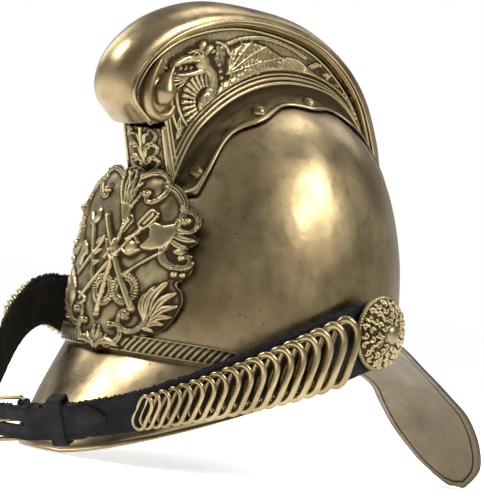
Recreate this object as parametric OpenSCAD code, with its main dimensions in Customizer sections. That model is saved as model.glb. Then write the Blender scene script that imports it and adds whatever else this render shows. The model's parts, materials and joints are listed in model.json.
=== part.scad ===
// Victorian-style brass fire helmet with a high comb, a front badge, a leather and
// curb-chain chin strap that swings on two rosette studs, and a leather liner.
// Units are millimetres. +Z is up, the face looks along -Y, the wearer's left is +X.
// The helmet stands on the front of its peak and on the tip of its neck guard.
// The origin is on that surface, at the middle of the outline.

/* [Skull] */
// Half the width of the skull at the brow
skull_half_width = 96; // [90:1:98]
// Half the length of the skull at the brow
skull_half_length = 107; // [100:1:110]
// Height of the crown above the brow line
skull_height = 170; // [160:1:175]
// Height of the brow line above the surface the helmet stands on
brow_z = 64; // [60:1:68]
// How far the skull's edge rises from the brow to the nape
nape_rise = 24; // [16:1:28]
// Thickness of the brass sheets
sheet_t = 1.1; // [0.8:0.1:1.4]

/* [Peak and neck guard] */
// Half the width of the peak where it meets the rosettes
peak_half_width = 91; // [86:1:92]
// How far the peak's front edge stands in front of the skull's middle
peak_reach = 147; // [140:1:150]
// Rise of the peak's edge for each millimetre towards the back
peak_slope = 0.43; // [0.38:0.01:0.46]

/* [Comb] */
// Half the width of the comb's hood along the top
hood_half_width = 20; // [17:1:23]
// Half the width of the comb's hood at its nose
nose_half_width = 17; // [15:1:20]
// Distance of the comb's side panels from the middle, at their foot
comb_half_width = 18.5; // [16:0.5:20]

/* [Badge and brow band] */
// Half the width of the badge at its widest
badge_half_width = 53; // [44:1:56]
// Height of the badge
badge_height = 110; // [100:1:114]
// Height of the brow band
band_height = 11; // [8:1:13]

/* [Rosettes] */
// Radius of each rosette
rosette_r = 22.5; // [20:0.5:24]
// Height of each rosette's dome
rosette_dome = 9; // [6:0.5:11]
// Radius of the studs the chin strap turns on
stud_r = 4; // [3:0.5:5]

/* [Chin strap] */
// Width of the strap at the rosettes
strap_wide = 44; // [38:1:46]
// Width of the strap at the buckle
strap_narrow = 22; // [20:1:23]
// Thickness of the strap's leather
strap_t = 3; // [2.4:0.1:3.2]
// Number of links in each side's curb chain
links_per_side = 18; // [12:1:18]

/* [Hidden] */
$fn = 48;
// Place of the skull's middle, which puts the origin under the middle of the outline
skull_y = -20;
// Fullness of the skull's curve from brow to crown, and how far the crown leans back
skull_power = 2.3;
crown_lean = 11;
// Stretch of the skull's side, from its middle, over which the edge rises
rise_from = -53;
rise_to = 37;
// Gap between sheets that lie on each other
lap_gap = 0.5;
// Chin strap pivot
hinge_y = skull_y + 20;
hinge_z = 98;
// Where the leather tab on each end of the strap lies, measured from the middle plane
tab_inner_x = 98.3;
tab_outer_x = 101.3;
// Side view of the comb, from the nape round to the underside of the nose:
// distance behind the skull's middle, and height. First the crest, then the hood's edge.
crest_line = [[101, 190], [94, 212], [74, 243], [47, 265], [11, 280], [-28, 284],
              [-69, 282], [-103, 270], [-127, 251], [-137, 232], [-133, 213], [-115, 200]];
hood_edge = [[87, 198], [74, 222], [57, 243], [31, 262], [2, 272], [-34, 275],
             [-65, 271], [-96, 259], [-116, 243], [-126, 226], [-125, 214], [-111, 203]];
comb_centre = [-18, 190];
// Left edge and middle line of the neck guard, from its root on the nape to its tip
guard_edge = [[63, 84, 91], [54, 107, 84], [47, 128, 76], [40, 152, 67], [38, 166, 60],
              [41.5, 180, 49], [39.5, 195.5, 33], [29, 212, 15], [9, 223, 1.4]];
guard_middle = [[0, 111, 88], [0, 125, 83], [0, 138, 78], [0, 154, 70], [0, 167, 62],
                [0, 181, 50.5], [0, 197, 34], [0, 213, 16], [0, 224.5, 0.5]];
guard_root_angle = 49.5;

brass = [0.72, 0.58, 0.30];
dark_brass = [0.50, 0.40, 0.22];
black_leather = [0.10, 0.09, 0.09];
tan_leather = [0.42, 0.27, 0.16];
cotton = [0.80, 0.76, 0.66];

// ---------- helper functions ----------

function clamp01(v) = min(1, max(0, v));
function smooth(v) = let (t = clamp01(v)) t * t * (3 - 2 * t);
function signed_pow(v, p) = sign(v) * pow(abs(v), p);
function unit(v) = v / norm(v);
function mix(a, b, t) = a * (1 - t) + b * t;
function mirror_x(p) = [-p[0], p[1], p[2]];

// Point at t, from 0 to 1, on a smooth curve through the points p
function spline(p, t) =
    let (n = len(p) - 1, i = min(floor(t * n), n - 1), f = t * n - i,
         a = p[max(i - 1, 0)], b = p[i], c = p[i + 1], d = p[min(i + 2, n)])
    0.5 * (2 * b + (c - a) * f + (2 * a - 5 * b + 4 * c - d) * f * f
           + (3 * b - a - 3 * c + d) * f * f * f);

// Point on the skull at x and at yp along its length, out millimetres off its surface
function dome(x, yp, out = 0) =
    let (s = min(1, norm([x / (skull_half_width + out), yp / (skull_half_length + out)])),
         k = pow(1 - pow(s, skull_power), 1 / skull_power))
    [x, skull_y + yp + crown_lean * k * k, brow_z + (skull_height + out) * k];

// The same, from the angle round the skull and the share k of its height
function dome_ring(angle, k, out = 0) =
    let (s = pow(1 - pow(k, skull_power), 1 / skull_power))
    [(skull_half_width + out) * s * cos(angle),
     skull_y + (skull_half_length + out) * s * sin(angle) + crown_lean * k * k,
     brow_z + (skull_height + out) * k];

// Height of the skull's lower edge above the brow line, at the angle round the skull
function edge_rise(angle) =
    nape_rise * smooth((skull_half_length * sin(angle) - rise_from) / (rise_to - rise_from));
function edge_share(angle) = edge_rise(angle) / skull_height;

// Normal of a grid of points at row i and column j; closed joins the last column to the first
function grid_normal(g, i, j, closed) =
    let (rows = len(g), cols = len(g[0]),
         ja = closed ? (j + 1) % cols : min(j + 1, cols - 1),
         jb = closed ? (j + cols - 1) % cols : max(j - 1, 0),
         along = g[i][ja] - g[i][jb],
         up = g[min(i + 1, rows - 1)][j] - g[max(i - 1, 0)][j])
    unit(cross(along, up));

// The grid moved inwards by t
function inset(g, t, closed) =
    [for (i = [0:len(g) - 1]) [for (j = [0:len(g[0]) - 1]) g[i][j] - t * grid_normal(g, i, j, closed)]];

// A sheet of thickness t whose outer face is the grid g
module sheet(g, t, closed = false) {
    rows = len(g);
    cols = len(g[0]);
    count = rows * cols;
    inner = inset(g, t, closed);
    points = [for (layer = [g, inner]) for (row = layer) for (p = row) p];
    last = closed ? cols - 1 : cols - 2;
    function at(layer, i, j) = layer * count + i * cols + j % cols;
    outer_faces = [for (i = [0:rows - 2]) for (j = [0:last])
        for (f = [[at(0, i, j), at(0, i + 1, j + 1), at(0, i, j + 1)],
                  [at(0, i, j), at(0, i + 1, j), at(0, i + 1, j + 1)]]) f];
    inner_faces = [for (i = [0:rows - 2]) for (j = [0:last])
        for (f = [[at(1, i, j), at(1, i, j + 1), at(1, i + 1, j + 1)],
                  [at(1, i, j), at(1, i + 1, j + 1), at(1, i + 1, j)]]) f];
    low_edge = [for (j = [0:last])
        for (f = [[at(0, 0, j), at(0, 0, j + 1), at(1, 0, j + 1)],
                  [at(0, 0, j), at(1, 0, j + 1), at(1, 0, j)]]) f];
    high_edge = [for (j = [0:last])
        for (f = [[at(0, rows - 1, j), at(1, rows - 1, j + 1), at(0, rows - 1, j + 1)],
                  [at(0, rows - 1, j), at(1, rows - 1, j), at(1, rows - 1, j + 1)]]) f];
    side_edges = closed ? [] : [for (i = [0:rows - 2])
        for (f = [[at(0, i, 0), at(1, i + 1, 0), at(0, i + 1, 0)],
                  [at(0, i, 0), at(1, i, 0), at(1, i + 1, 0)],
                  [at(0, i, cols - 1), at(0, i + 1, cols - 1), at(1, i + 1, cols - 1)],
                  [at(0, i, cols - 1), at(1, i + 1, cols - 1), at(1, i, cols - 1)]]) f];
    polyhedron(points, concat(outer_faces, inner_faces, low_edge, high_edge, side_edges));
}

// Puts children, drawn along their own X, Y and Z, on the axes a, b and c at point p
module place(p, a, b, c) {
    multmatrix([[a[0], b[0], c[0], p[0]], [a[1], b[1], c[1], p[1]], [a[2], b[2], c[2], p[2]]])
        children();
}

// Puts children, drawn along +Z, on the skull at x and yp with Z along the skull's normal
module on_dome(x, yp, out = 0) {
    step = 0.5;
    ahead = unit(dome(x, yp + step) - dome(x, yp - step));
    aside = dome(x + step, yp) - dome(x - step, yp);
    normal = unit(cross(aside, ahead));
    place(dome(x, yp, out), unit(cross(ahead, normal)), ahead, normal) children();
}

// A round-headed rivet: its head stands on z = 0 and its shank goes down from there
module rivet(head_r, head_h, shank_r, shank_l) {
    rotate_extrude() intersection() {
        translate([0, (head_h * head_h - head_r * head_r) / (2 * head_h)])
            circle(r = (head_h * head_h + head_r * head_r) / (2 * head_h));
        square([head_r, head_h]);
    }
    translate([0, 0, -shank_l]) cylinder(r = shank_r, h = shank_l + head_h / 2);
}

module left_and_right() {
    children();
    mirror([1, 0, 0]) children();
}

// ---------- skull, peak and neck guard ----------

// Beaten brass shell, open below, with a vent hole in the crown under the comb
module skull() {
    around = 48;
    rings = 15;
    top_angle = 86;
    function ring_share(angle, i) =
        let (low = asin(pow(edge_share(angle), skull_power / 2)), a = mix(low, top_angle, i / rings))
        pow(sin(a), 2 / skull_power);
    rows = [for (i = [0:rings]) [for (j = [0:around - 1])
        let (angle = 360 * j / around) dome_ring(angle, ring_share(angle, i))]];
    color(brass) sheet(rows, sheet_t, closed = true);
}

// How far behind the skull's middle the peak's edge ends, and how much of its tip lies flat
peak_end_y = 32;
peak_flat = 4;

// Outer edge of the peak at the share f from its left end to its right end
function peak_edge(f) =
    let (angle = -180 * f, yr = peak_end_y + (peak_reach + peak_end_y) * sin(angle))
    [peak_half_width * cos(angle), skull_y + yr,
     sheet_t / 2 + peak_slope * max(0, yr + peak_reach - peak_flat)];

// Front peak: a short upright flange on the skull, then a sheet that slopes down and forward
module front_peak() {
    columns = 44;
    flange_h = 4;
    slope_rows = 5;
    crown = 3;
    out = lap_gap + sheet_t;
    past = 16;
    function root(f, up) =
        let (angle = past - (180 + 2 * past) * f) dome_ring(angle, edge_share(angle), out) + [0, 0, up];
    rows = [
        for (i = [slope_rows:-1:0]) [for (j = [0:columns])
            let (f = j / columns, t = i / slope_rows)
            mix(root(f, -1), peak_edge(f), t) + [0, 0, 4 * crown * t * (1 - t) * sin(180 * f)]],
        [for (j = [0:columns]) root(j / columns, flange_h)]];
    flipped = [for (row = rows) [for (j = [columns:-1:0]) row[j]]];
    color(brass) sheet(flipped, sheet_t);
}

// Point of the neck guard at the share u from the middle to its edge and v from root to tip
function guard_point(u, v) =
    let (edge = spline(guard_edge, v), middle = spline(guard_middle, v))
    [edge[0] * u, skull_y + mix(middle[1], edge[1], u * u), mix(middle[2], edge[2], u * u)];

// Neck guard: a flange on the skull's nape, then a long rounded tongue that bends down
module neck_guard() {
    half = 10;
    slope_rows = 16;
    flange_h = 5;
    out = lap_gap + sheet_t;
    function root(j, up) =
        let (a = mix(guard_root_angle, 180 - guard_root_angle, j / (2 * half)))
        dome_ring(a, edge_share(a), out) + [0, 0, up];
    rows = [
        for (i = [slope_rows:-1:1]) [for (j = [0:2 * half]) guard_point(1 - j / half, i / slope_rows)],
        [for (j = [0:2 * half]) root(j, -1)],
        [for (j = [0:2 * half]) root(j, flange_h)]];
    color(brass) sheet(rows, sheet_t);
}

// Rivets that hold the peak's flange to the skull, hidden by the brow band
module peak_rivets() {
    color(dark_brass) for (angle = [-130, -50, -8, -172]) {
        p = dome_ring(angle, edge_share(angle) + 0.009, 0);
        normal = unit([cos(angle) / skull_half_width, sin(angle) / skull_half_length, 0]);
        place(p, [-normal[1], normal[0], 0], [0, 0, 1], normal)
            translate([0, 0, -3.4]) cylinder(r = 1.3, h = 3.4 + lap_gap + sheet_t);
    }
}

// Round-headed rivets that hold the neck guard's flange to the skull
module neck_guard_rivets() {
    color(brass) for (angle = [54, 72, 90, 108, 126]) {
        p = dome_ring(angle, edge_share(angle) + 0.012, lap_gap + sheet_t);
        normal = unit([cos(angle) / skull_half_width, sin(angle) / skull_half_length, 0.12 / skull_height]);
        tangent = unit([-normal[1], normal[0], 0]);
        place(p, tangent, cross(normal, tangent), normal) rivet(2.2, 1.4, 1.2, 4);
    }
}

// ---------- comb ----------

function crest(s) = spline(crest_line, s);
function hood_rim(s) = spline(hood_edge, s);
function hood_width(s) = mix(hood_half_width, nose_half_width, smooth((s - 0.6) / 0.25))
    - 5 * smooth((0.25 - s) / 0.25);
// Side view point of the comb's side panel top, just inside the hood's edge
function panel_top(s) =
    let (rim = hood_rim(s), lip = 2 + 4 * smooth((s - 0.9) / 0.1))
    rim + lip * unit(comb_centre - rim);
// Distance from the middle of the hood's turned-in edge, and of the panel's top inside it
function tuck_x(s) = min(15.8, hood_width(s) - 1.5);
function panel_top_x(s) = tuck_x(s) - 2 - 2 * smooth((0.35 - s) / 0.35);
// Place along the skull of the comb's foot at station s, from the nape to the front
function foot_place(s) = 76 - 166 * (1 - pow(1 - s, 1.8));

function side_view(x, p) = [x, skull_y + p[0], p[1]];

// Top roll of the comb with its bulging nose; its edges turn in over the side panels
module comb_hood() {
    stations = 44;
    half = 7;
    lip_drop = 4;
    function row(s) =
        let (c = crest(s), e = hood_rim(s), w = hood_width(s),
             tuck = e + lip_drop * unit(comb_centre - e))
        [side_view(tuck_x(s), tuck),
         for (j = [0:2 * half]) let (a = 90 - 90 * j / half)
             side_view(w * sin(a), e + (c - e) * cos(a)),
         side_view(-tuck_x(s), tuck)];
    color(brass) sheet([for (i = [0:stations]) row(i / stations)], 1.2);
}

// How far the foot of the comb's side panel stands off the skull
function foot_out(s) = 2.5 + 6.5 * smooth((1 - s) / 0.25) * smooth((s + 0.03) / 0.25);

// Line up the comb's side panel at station s, from its foot at t = 0 to its top at t = 1
function panel_point(s, t) =
    mix(dome(comb_half_width, foot_place(s), foot_out(s)), side_view(panel_top_x(s), panel_top(s)), t);

// Distance from the middle of the foot's scalloped edge, at yp along the skull
scallop_pitch = 39.5;
first_scallop = -83;
function foot_edge_x(yp) =
    33.2 + 2.6 * cos(360 * (yp - first_scallop) / scallop_pitch)
    - 6 * smooth((first_scallop - 1 - yp) / 6);

// Front edge of the side panels: its foot in side view, its lean and its height
front_foot = [-86.5, 170];
front_lean = 20;
front_height = 37;

// Embossed side panel of the comb with its splayed, scalloped foot on the skull
module comb_side() {
    stations = 36;
    wall_rows = 3;
    function column(s) =
        let (yp = foot_place(s))
        [dome(foot_edge_x(yp), yp, lap_gap + 1.5), dome(26.5, yp, lap_gap + 1.8),
         dome(22, yp, 2.3 + 0.35 * (foot_out(s) - 2.5)),
         for (i = [0:wall_rows]) panel_point(s, i / wall_rows)];
    columns = [for (i = [0:stations]) column(i / stations)];
    rows = [for (i = [0:len(columns[0]) - 1]) [for (j = [stations:-1:0]) columns[j][i]]];
    color(brass) difference() {
        sheet(rows, 1);
        translate([0, skull_y + front_foot[0], front_foot[1]]) rotate([front_lean, 0, 0])
            translate([0, -50, 0]) cube([22, 50, front_height]);
    }
}

module comb_side_left() { comb_side(); }
module comb_side_right() { mirror([1, 0, 0]) comb_side(); }

// Upright plate that closes the comb's front under the nose
module comb_front_plate() {
    half = 5;
    steps = 6;
    half_w = 18.6;
    bulge = 3;
    ahead = 2.6;
    function front(t) = front_foot + t * front_height * [-sin(front_lean), cos(front_lean)];
    rows = [for (i = [0:steps]) let (p = front(0.85 * i / steps))
        [for (j = [0:2 * half]) let (a = (j - half) / half)
            [half_w * a, skull_y + p[0] - ahead - bulge * (1 - a * a), p[1]]]];
    color(brass) sheet(rows, 1);
}

// Teardrop volute at the front end of each side panel
module comb_knob() {
    color(brass) translate([13.6, skull_y - 106, 218]) rotate([0, 90, 0]) {
        cylinder(r = 9, h = 4.7);
        translate([0, 0, 4.7]) cylinder(r1 = 7.5, r2 = 5.5, h = 2);
        translate([0, 0, 7.2]) sphere(r = 5.8);
    }
}
module comb_knob_left() { comb_knob(); }
module comb_knob_right() { mirror([1, 0, 0]) comb_knob(); }

// Round-headed rivets through the comb's foot and the skull
module comb_rivets() {
    color(dark_brass) for (n = [0:2])
        on_dome(28, first_scallop + n * scallop_pitch, lap_gap + 1.4) rivet(4.5, 3.4, 1.6, 6);
}
module comb_rivets_left() { comb_rivets(); }
module comb_rivets_right() { mirror([1, 0, 0]) comb_rivets(); }

// ---------- badge and brow band ----------

// Point on the badge's bent face, at x and height z, out millimetres off the skull's brow
function badge_face(x, z, out) =
    let (k = max(0, z - brow_z) / skull_height, s = pow(1 - pow(k, 3), 1 / 3),
         w = x / (skull_half_width + out))
    [x, skull_y - (skull_half_length + out) * sqrt(max(0, s * s - w * w)), z];

// Half width of the badge at the share v of its height
function badge_width(v) =
    badge_half_width * pow(sin(180 * clamp01(0.04 + 0.9 * v)), 0.55)
    * (1 - 0.08 * cos(720 * v) - 0.25 * smooth((v - 0.7) / 0.3));

// Die-struck plate over the skull's front and the comb's foot
module badge_plate() {
    steps = 20;
    half = 8;
    stand_off = 5.4;
    rows = [for (i = [0:steps]) let (v = i / steps, z = brow_z + 1 + badge_height * v)
        [for (j = [0:2 * half]) badge_face(badge_width(v) * (j - half) / half, z, stand_off)]];
    color(brass) sheet(rows, 1.2);
}

// Round bosses at the ends of the badge's scrolls
module badge_bosses() {
    color(brass) for (b = [[15, 80], [23, 85], [15, 159], [38, 140]]) left_and_right() {
        p = badge_face(b[0], b[1], 5.3);
        q = badge_face(b[0] + 0.5, b[1], 5.3);
        aside = unit(q - p);
        up = [0, 0, 1];
        place(p, aside, cross(cross(aside, up), aside), unit(cross(aside, up))) rivet(3, 2.4, 1, 1);
    }
}

// Posts on the badge's back, with square nuts inside the skull
module badge_posts() {
    color(dark_brass) for (b = [[0, 96, 13], [-24, 128, 17], [24, 128, 17]]) {
        p = badge_face(b[0], b[1], 4.6);
        post_l = b[2];
        nut = 8;
        nut_t = 3;
        translate(p) rotate([-90, 0, 0]) {
            cylinder(r = 2, h = post_l);
            translate([-nut / 2, -nut / 2, post_l - nut_t]) cube([nut, nut, nut_t]);
        }
    }
}

// Raised band along the joint between the skull and the peak
module brow_band() {
    columns = 40;
    end_angle = 32;
    out = 2 * lap_gap + 2 * sheet_t + 0.8;
    rows = [for (i = [0:2]) [for (j = [0:columns])
        let (f = 2 * j / columns - 1, a = -90 + (90 - end_angle) * f,
             h = band_height * (1 - 0.75 * pow(abs(f), 14)))
        dome_ring(a, edge_share(a), out) + [0, 0, 2 + h * (i / 2 - 0.14)]]];
    color(brass) sheet(rows, 1.4);
}

// ---------- rosettes ----------

// Domed rosette with a central boss, leaning a little to the back
module rosette_left() {
    lean = 8;
    base_x = tab_outer_x + 0.5 + rosette_r * sin(lean);
    rim = 1.4;
    cup = (rosette_dome * rosette_dome + rosette_r * rosette_r) / (2 * rosette_dome);
    color(brass) translate([base_x, hinge_y, hinge_z]) rotate([0, 0, lean]) rotate([0, 90, 0]) {
        rotate_extrude() intersection() {
            translate([0, rosette_dome - cup]) circle(r = cup, $fn = 96);
            square([rosette_r, rosette_dome]);
        }
        cylinder(r = rosette_r + 0.6, h = rim);
        translate([0, 0, rosette_dome - 1.5]) sphere(r = 3.6);
    }
}
module rosette_right() { mirror([1, 0, 0]) rosette_left(); }

// Stud along X that the strap's tab turns on; its outer end is brazed into the rosette
module rosette_stud_left() {
    inner_x = 86.6;
    color(dark_brass) translate([inner_x, hinge_y, hinge_z]) rotate([0, 90, 0])
        cylinder(r = stud_r, h = tab_outer_x + 5 - inner_x);
}
module rosette_stud_right() { mirror([1, 0, 0]) rosette_stud_left(); }

// Where the collars start, measured from the middle plane
washer_x = 93.2;

// Collars let into the skull, between it and the strap's tabs
module rosette_washers() {
    color(dark_brass) left_and_right()
        translate([washer_x, hinge_y, hinge_z]) rotate([0, 90, 0]) difference() {
            cylinder(r = 7.5, h = tab_inner_x - 0.3 - washer_x);
            translate([0, 0, -1]) cylinder(r = stud_r, h = 20);
        }
}

// Round nuts on the studs, inside the skull
module rosette_nuts() {
    color(dark_brass) left_and_right()
        translate([87, hinge_y, hinge_z]) rotate([0, 90, 0]) difference() {
            cylinder(r = 7, h = 3.2);
            translate([0, 0, -1]) cylinder(r = stud_r, h = 20);
        }
}

// ---------- liner ----------

// Height of the sweatband, its height over the skull's edge, and how far inside it lies
sweatband_h = 30;
sweatband_rise = 2;
liner_out = -11;

// Leather sweatband inside the skull's edge
module liner_headband() {
    around = 48;
    rows = [for (h = [0, 0.5, 1]) [for (j = [0:around - 1])
        let (a = 360 * j / around)
        dome_ring(a, 0, liner_out) + [0, 0, edge_rise(a) + sweatband_rise + h * sweatband_h]]];
    color(tan_leather) sheet(rows, 1.8, closed = true);
}

// Eight leather tongues that rise from the sweatband and meet round the lace
module liner_tongues() {
    count = 8;
    steps = 8;
    half_angle = 18;
    color(tan_leather) for (n = [0:count - 1]) {
        mid = 22.5 + 360 * n / count;
        rows = [for (i = [0:steps]) let (v = i / steps, k = mix(0.14, 0.86, v),
                                         spread = half_angle * (1 - 0.45 * v * v))
            [for (j = [-2:2]) let (a = mid + spread * j / 2)
                dome_ring(a, k + edge_share(a) * (1 - v), liner_out - 2.4)]];
        sheet(rows, 1.5);
    }
}

// Lace that draws the tongues together over the wearer's head
module liner_lace() {
    k = 0.84;
    ring = dome_ring(0, k, liner_out - 7);
    color(cotton) translate([0, skull_y + crown_lean * k * k, ring[2]]) rotate_extrude()
        translate([ring[0], 0]) circle(r = 1.6, $fn = 24);
}

// Rivets that hold the sweatband to the skull
module headband_rivets() {
    color(dark_brass) for (a = [0, 55, 125, 180, 235, 305]) {
        p = dome_ring(a, edge_share(a) + 0.03, 0);
        normal = unit([cos(a) / skull_half_width, sin(a) / skull_half_length, 0]);
        place(p, [-normal[1], normal[0], 0], [0, 0, 1], normal)
            translate([0, 0, liner_out - 2.5]) cylinder(r = 1.4, h = 2.5 - liner_out - 0.3);
    }
}

// ---------- chin strap ----------

// How far the strap reaches in front of its studs, its fall for each millimetre forward, and
// how far the right half bows upwards
strap_reach = 187;
strap_plan_x = (tab_inner_x + tab_outer_x) / 2;
strap_fall = 0.426;
far_bow = 36;
// Place of the buckle's bar and of the tongue's tip along the strap, and the tongue's leather
buckle_angle = 85.5;
tongue_tip_angle = 60;
tongue_t = 2.6;

// Centre line of the strap: a is 0 at the left rosette, 90 at the front, 180 at the right
function strap_line(a) =
    let (power = 2.4 - 0.5 * smooth((a - 95) / 30) * smooth((174 - a) / 40),
         e = 2 / power,
         forward = strap_reach * signed_pow(sin(a), e),
         bow = far_bow * pow(sin(180 * clamp01((a - 97) / 83)), 2))
    [strap_plan_x * signed_pow(cos(a), e), hinge_y - forward, hinge_z - strap_fall * forward + bow];

function strap_along(a) = unit(strap_line(a + 0.5) - strap_line(a - 0.5));
// Width direction: square to the line, and close to the slope that the strap lies in
function strap_across(a) =
    let (along = strap_along(a), slope = unit([0, -strap_fall, 1]))
    unit(slope - (slope * along) * along);
function strap_out(a) = cross(strap_across(a), strap_along(a));
function strap_width(a) = mix(strap_wide, strap_narrow, smooth(sin(a) * 1.05 - 0.05));

// How far the tongue half rises over the buckle's bar and the other half
function tongue_lift(a) = 5.9 * smooth((112 - a) / 12) - 2.6 * smooth((83 - a) / 7);

// Leather of thickness t from angle a0 to a1, in so many steps. With a tip, it is the tongue
// half, which rises over the other and narrows to a point over its last tip degrees.
module strap_leather(a0, a1, steps, t, tip = 0) {
    function width(a) =
        let (left = clamp01(abs(a - a1) / tip)) strap_width(a) * mix(0.2, 1, pow(left, 0.6));
    rows = [for (j = [-1, 0, 1]) [for (i = [0:steps])
        let (a = mix(a0, a1, i / steps),
             lift = tip > 0 ? tongue_lift(a) : 0,
             w = tip > 0 ? width(a) : strap_width(a))
        strap_line(a) + strap_out(a) * (lift + t / 2) + strap_across(a) * w * j / 2]];
    ordered = a1 < a0 ? rows : [for (row = rows) [for (i = [steps:-1:0]) row[i]]];
    sheet(ordered, t);
}

// Puts children on the strap at angle a: X along the strap, Y across it, Z outwards
module on_strap(a) {
    place(strap_line(a), strap_along(a), -strap_across(a), strap_out(a)) children();
}

// Round end of the leather behind a rosette, and the hole for the stud
module tab_disc(side) {
    translate([side * tab_inner_x, hinge_y, hinge_z]) rotate([0, side * 90, 0])
        cylinder(r = strap_wide / 2 - 1, h = tab_outer_x - tab_inner_x);
}
module tab_bore(side) {
    translate([side * (tab_inner_x - 2), hinge_y, hinge_z]) rotate([0, side * 90, 0])
        cylinder(r = stud_r + turn_gap, h = 8);
}

// Clearance round a pin that something turns on
turn_gap = 0.06;
// Radius of the buckle's bar and of the leather fold round it, and the fold's slot
bar_r = 1.5;
eye_r = 4;
prong_gap = 4.6;

// Left half: its end is folded round the buckle's bar
module chin_strap_left() {
    color(black_leather) difference() {
        union() {
            strap_leather(1, buckle_angle - 1.2, 30, strap_t);
            tab_disc(1);
            on_strap(buckle_angle) rotate([90, 0, 0])
                cylinder(r = eye_r, h = strap_narrow, center = true);
        }
        tab_bore(1);
        on_strap(buckle_angle) rotate([90, 0, 0])
            cylinder(r = bar_r + turn_gap, h = strap_narrow + 8, center = true);
        on_strap(buckle_angle) translate([-7, -prong_gap / 2, -8]) cube([14, prong_gap, 16]);
    }
}

// Right half: it passes through the buckle and ends in a tongue over the left half
module chin_strap_right() {
    color(black_leather) difference() {
        union() {
            strap_leather(179, tongue_tip_angle, 46, tongue_t, tip = 6);
            tab_disc(-1);
        }
        tab_bore(-1);
        on_strap(buckle_angle) translate([-7, -prong_gap / 2, -2]) cube([26, prong_gap, 14]);
    }
}

// One long link: an oval ring of round wire in the XY plane
module link(width, length, wire_r) {
    around = 14;
    sides = 6;
    a = width / 2 - wire_r;
    b = length / 2 - wire_r;
    function centre(i) =
        let (q = 360 * i / around) [a * signed_pow(cos(q), 0.8), b * signed_pow(sin(q), 0.8), 0];
    points = [for (i = [0:around - 1]) for (k = [0:sides - 1])
        let (along = unit(centre(i + 1) - centre(i - 1)), aside = [along[1], -along[0], 0],
             q = 360 * (k + 0.5) / sides)
        centre(i) + wire_r * (cos(q) * aside + [0, 0, sin(q)])];
    function at(i, k) = (i % around) * sides + k % sides;
    faces = [for (i = [0:around - 1]) for (k = [0:sides - 1])
        for (f = [[at(i, k), at(i + 1, k + 1), at(i + 1, k)],
                  [at(i, k), at(i, k + 1), at(i + 1, k + 1)]]) f];
    polyhedron(points, faces);
}

// Graduated curb chain on the outside of the strap, each link leaning on the next
module chain(mirrored) {
    first_angle = 7.4;
    last_angle = 50;
    color(brass) for (n = [0:links_per_side - 1]) {
        f = n / (links_per_side - 1);
        base = mix(first_angle, last_angle, 1 - pow(1 - f, 1.1));
        a = mirrored ? 180 - base : base;
        wire_r = mix(2.1, 1.5, f);
        width = mix(16, 11, f);
        length = strap_width(a) * mix(0.98, 0.84, f);
        tilt = mix(38, 50, f) * (mirrored ? -1 : 1);
        rise = strap_t / 2 + 0.8 + wire_r + (width / 2 - wire_r) * abs(sin(tilt));
        on_strap(a) translate([0, 0, rise]) rotate([0, tilt, 0]) link(width, length, wire_r);
    }
}
module chain_links_left() { chain(false); }
module chain_links_right() { chain(true); }

// Sewn leather loop that keeps the tongue down
module strap_keeper() {
    a = 73;
    length = 9;
    gap = 0.7;
    wall = 1.8;
    low = -strap_t / 2 - gap;
    high = tongue_lift(a) + tongue_t / 2 + gap;
    w = strap_width(a) + 2 * gap;
    color(black_leather) on_strap(a) difference() {
        translate([-length / 2, -w / 2 - wall, low - wall])
            cube([length, w + 2 * wall, high - low + 2 * wall]);
        translate([-length, -w / 2, low]) cube([2 * length, w, high - low]);
    }
}

// ---------- buckle ----------

// Length of the buckle's frame, how far its sides lie from its middle, and its far end's rise
frame_l = 22;
frame_side = 12.9;
frame_rise = 8.8;

// Rectangular frame that tilts on its bar
module buckle_frame() {
    side_r = 1.3;
    far_r = 1.6;
    past = 0.2;
    slant = atan(frame_rise / frame_l);
    color(brass) on_strap(buckle_angle) {
        rotate([90, 0, 0]) cylinder(r = bar_r, h = 2 * (frame_side + side_r + past), center = true);
        for (side = [-1, 1]) translate([0, side * frame_side, 0])
            rotate([0, 90 - slant, 0]) cylinder(r = side_r, h = norm([frame_l, frame_rise]));
        translate([frame_l, 0, frame_rise]) rotate([90, 0, 0])
            cylinder(r = far_r, h = 2 * (frame_side + side_r + past), center = true);
    }
}

// Prong that turns on the same bar and rests on the frame's far end
module buckle_prong() {
    prong_r = 1.2;
    ring_r = 3.1;
    root_z = 2.4;
    end_z = frame_rise + 4.15;
    run = frame_l + 2;
    color(brass) on_strap(buckle_angle) difference() {
        union() {
            rotate([90, 0, 0]) cylinder(r = ring_r, h = prong_gap - 1.6, center = true);
            translate([0, 0, root_z]) rotate([0, 90 - atan((end_z - root_z) / run), 0])
                cylinder(r = prong_r, h = norm([run, end_z - root_z]));
        }
        rotate([90, 0, 0]) cylinder(r = bar_r + turn_gap, h = prong_gap + 2, center = true);
    }
}

skull();
front_peak();
neck_guard();
comb_side_left();
comb_side_right();
comb_hood();
comb_front_plate();
comb_knob_left();
comb_knob_right();
comb_rivets_left();
comb_rivets_right();
badge_plate();
badge_bosses();
badge_posts();
brow_band();
rosette_left();
rosette_right();
rosette_stud_left();
rosette_stud_right();
rosette_washers();
rosette_nuts();
peak_rivets();
neck_guard_rivets();
liner_headband();
liner_tongues();
liner_lace();
headband_rivets();
chin_strap_left();
chin_strap_right();
chain_links_left();
chain_links_right();
strap_keeper();
buckle_frame();
buckle_prong();
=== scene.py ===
"""Looks of an antique brass fire helmet with a high comb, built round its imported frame.

Shapes are worked out in millimetres in the frame's own axes, and turned into metres when a
mesh is made. A sheet starts as a grid of points on its outer face. Its embossing is a height
at each point, drawn with the strokes, balls and scrolls of the Relief class.
"""
import json
import math

import bpy
import numpy as np
from mathutils import Matrix, Vector


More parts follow.
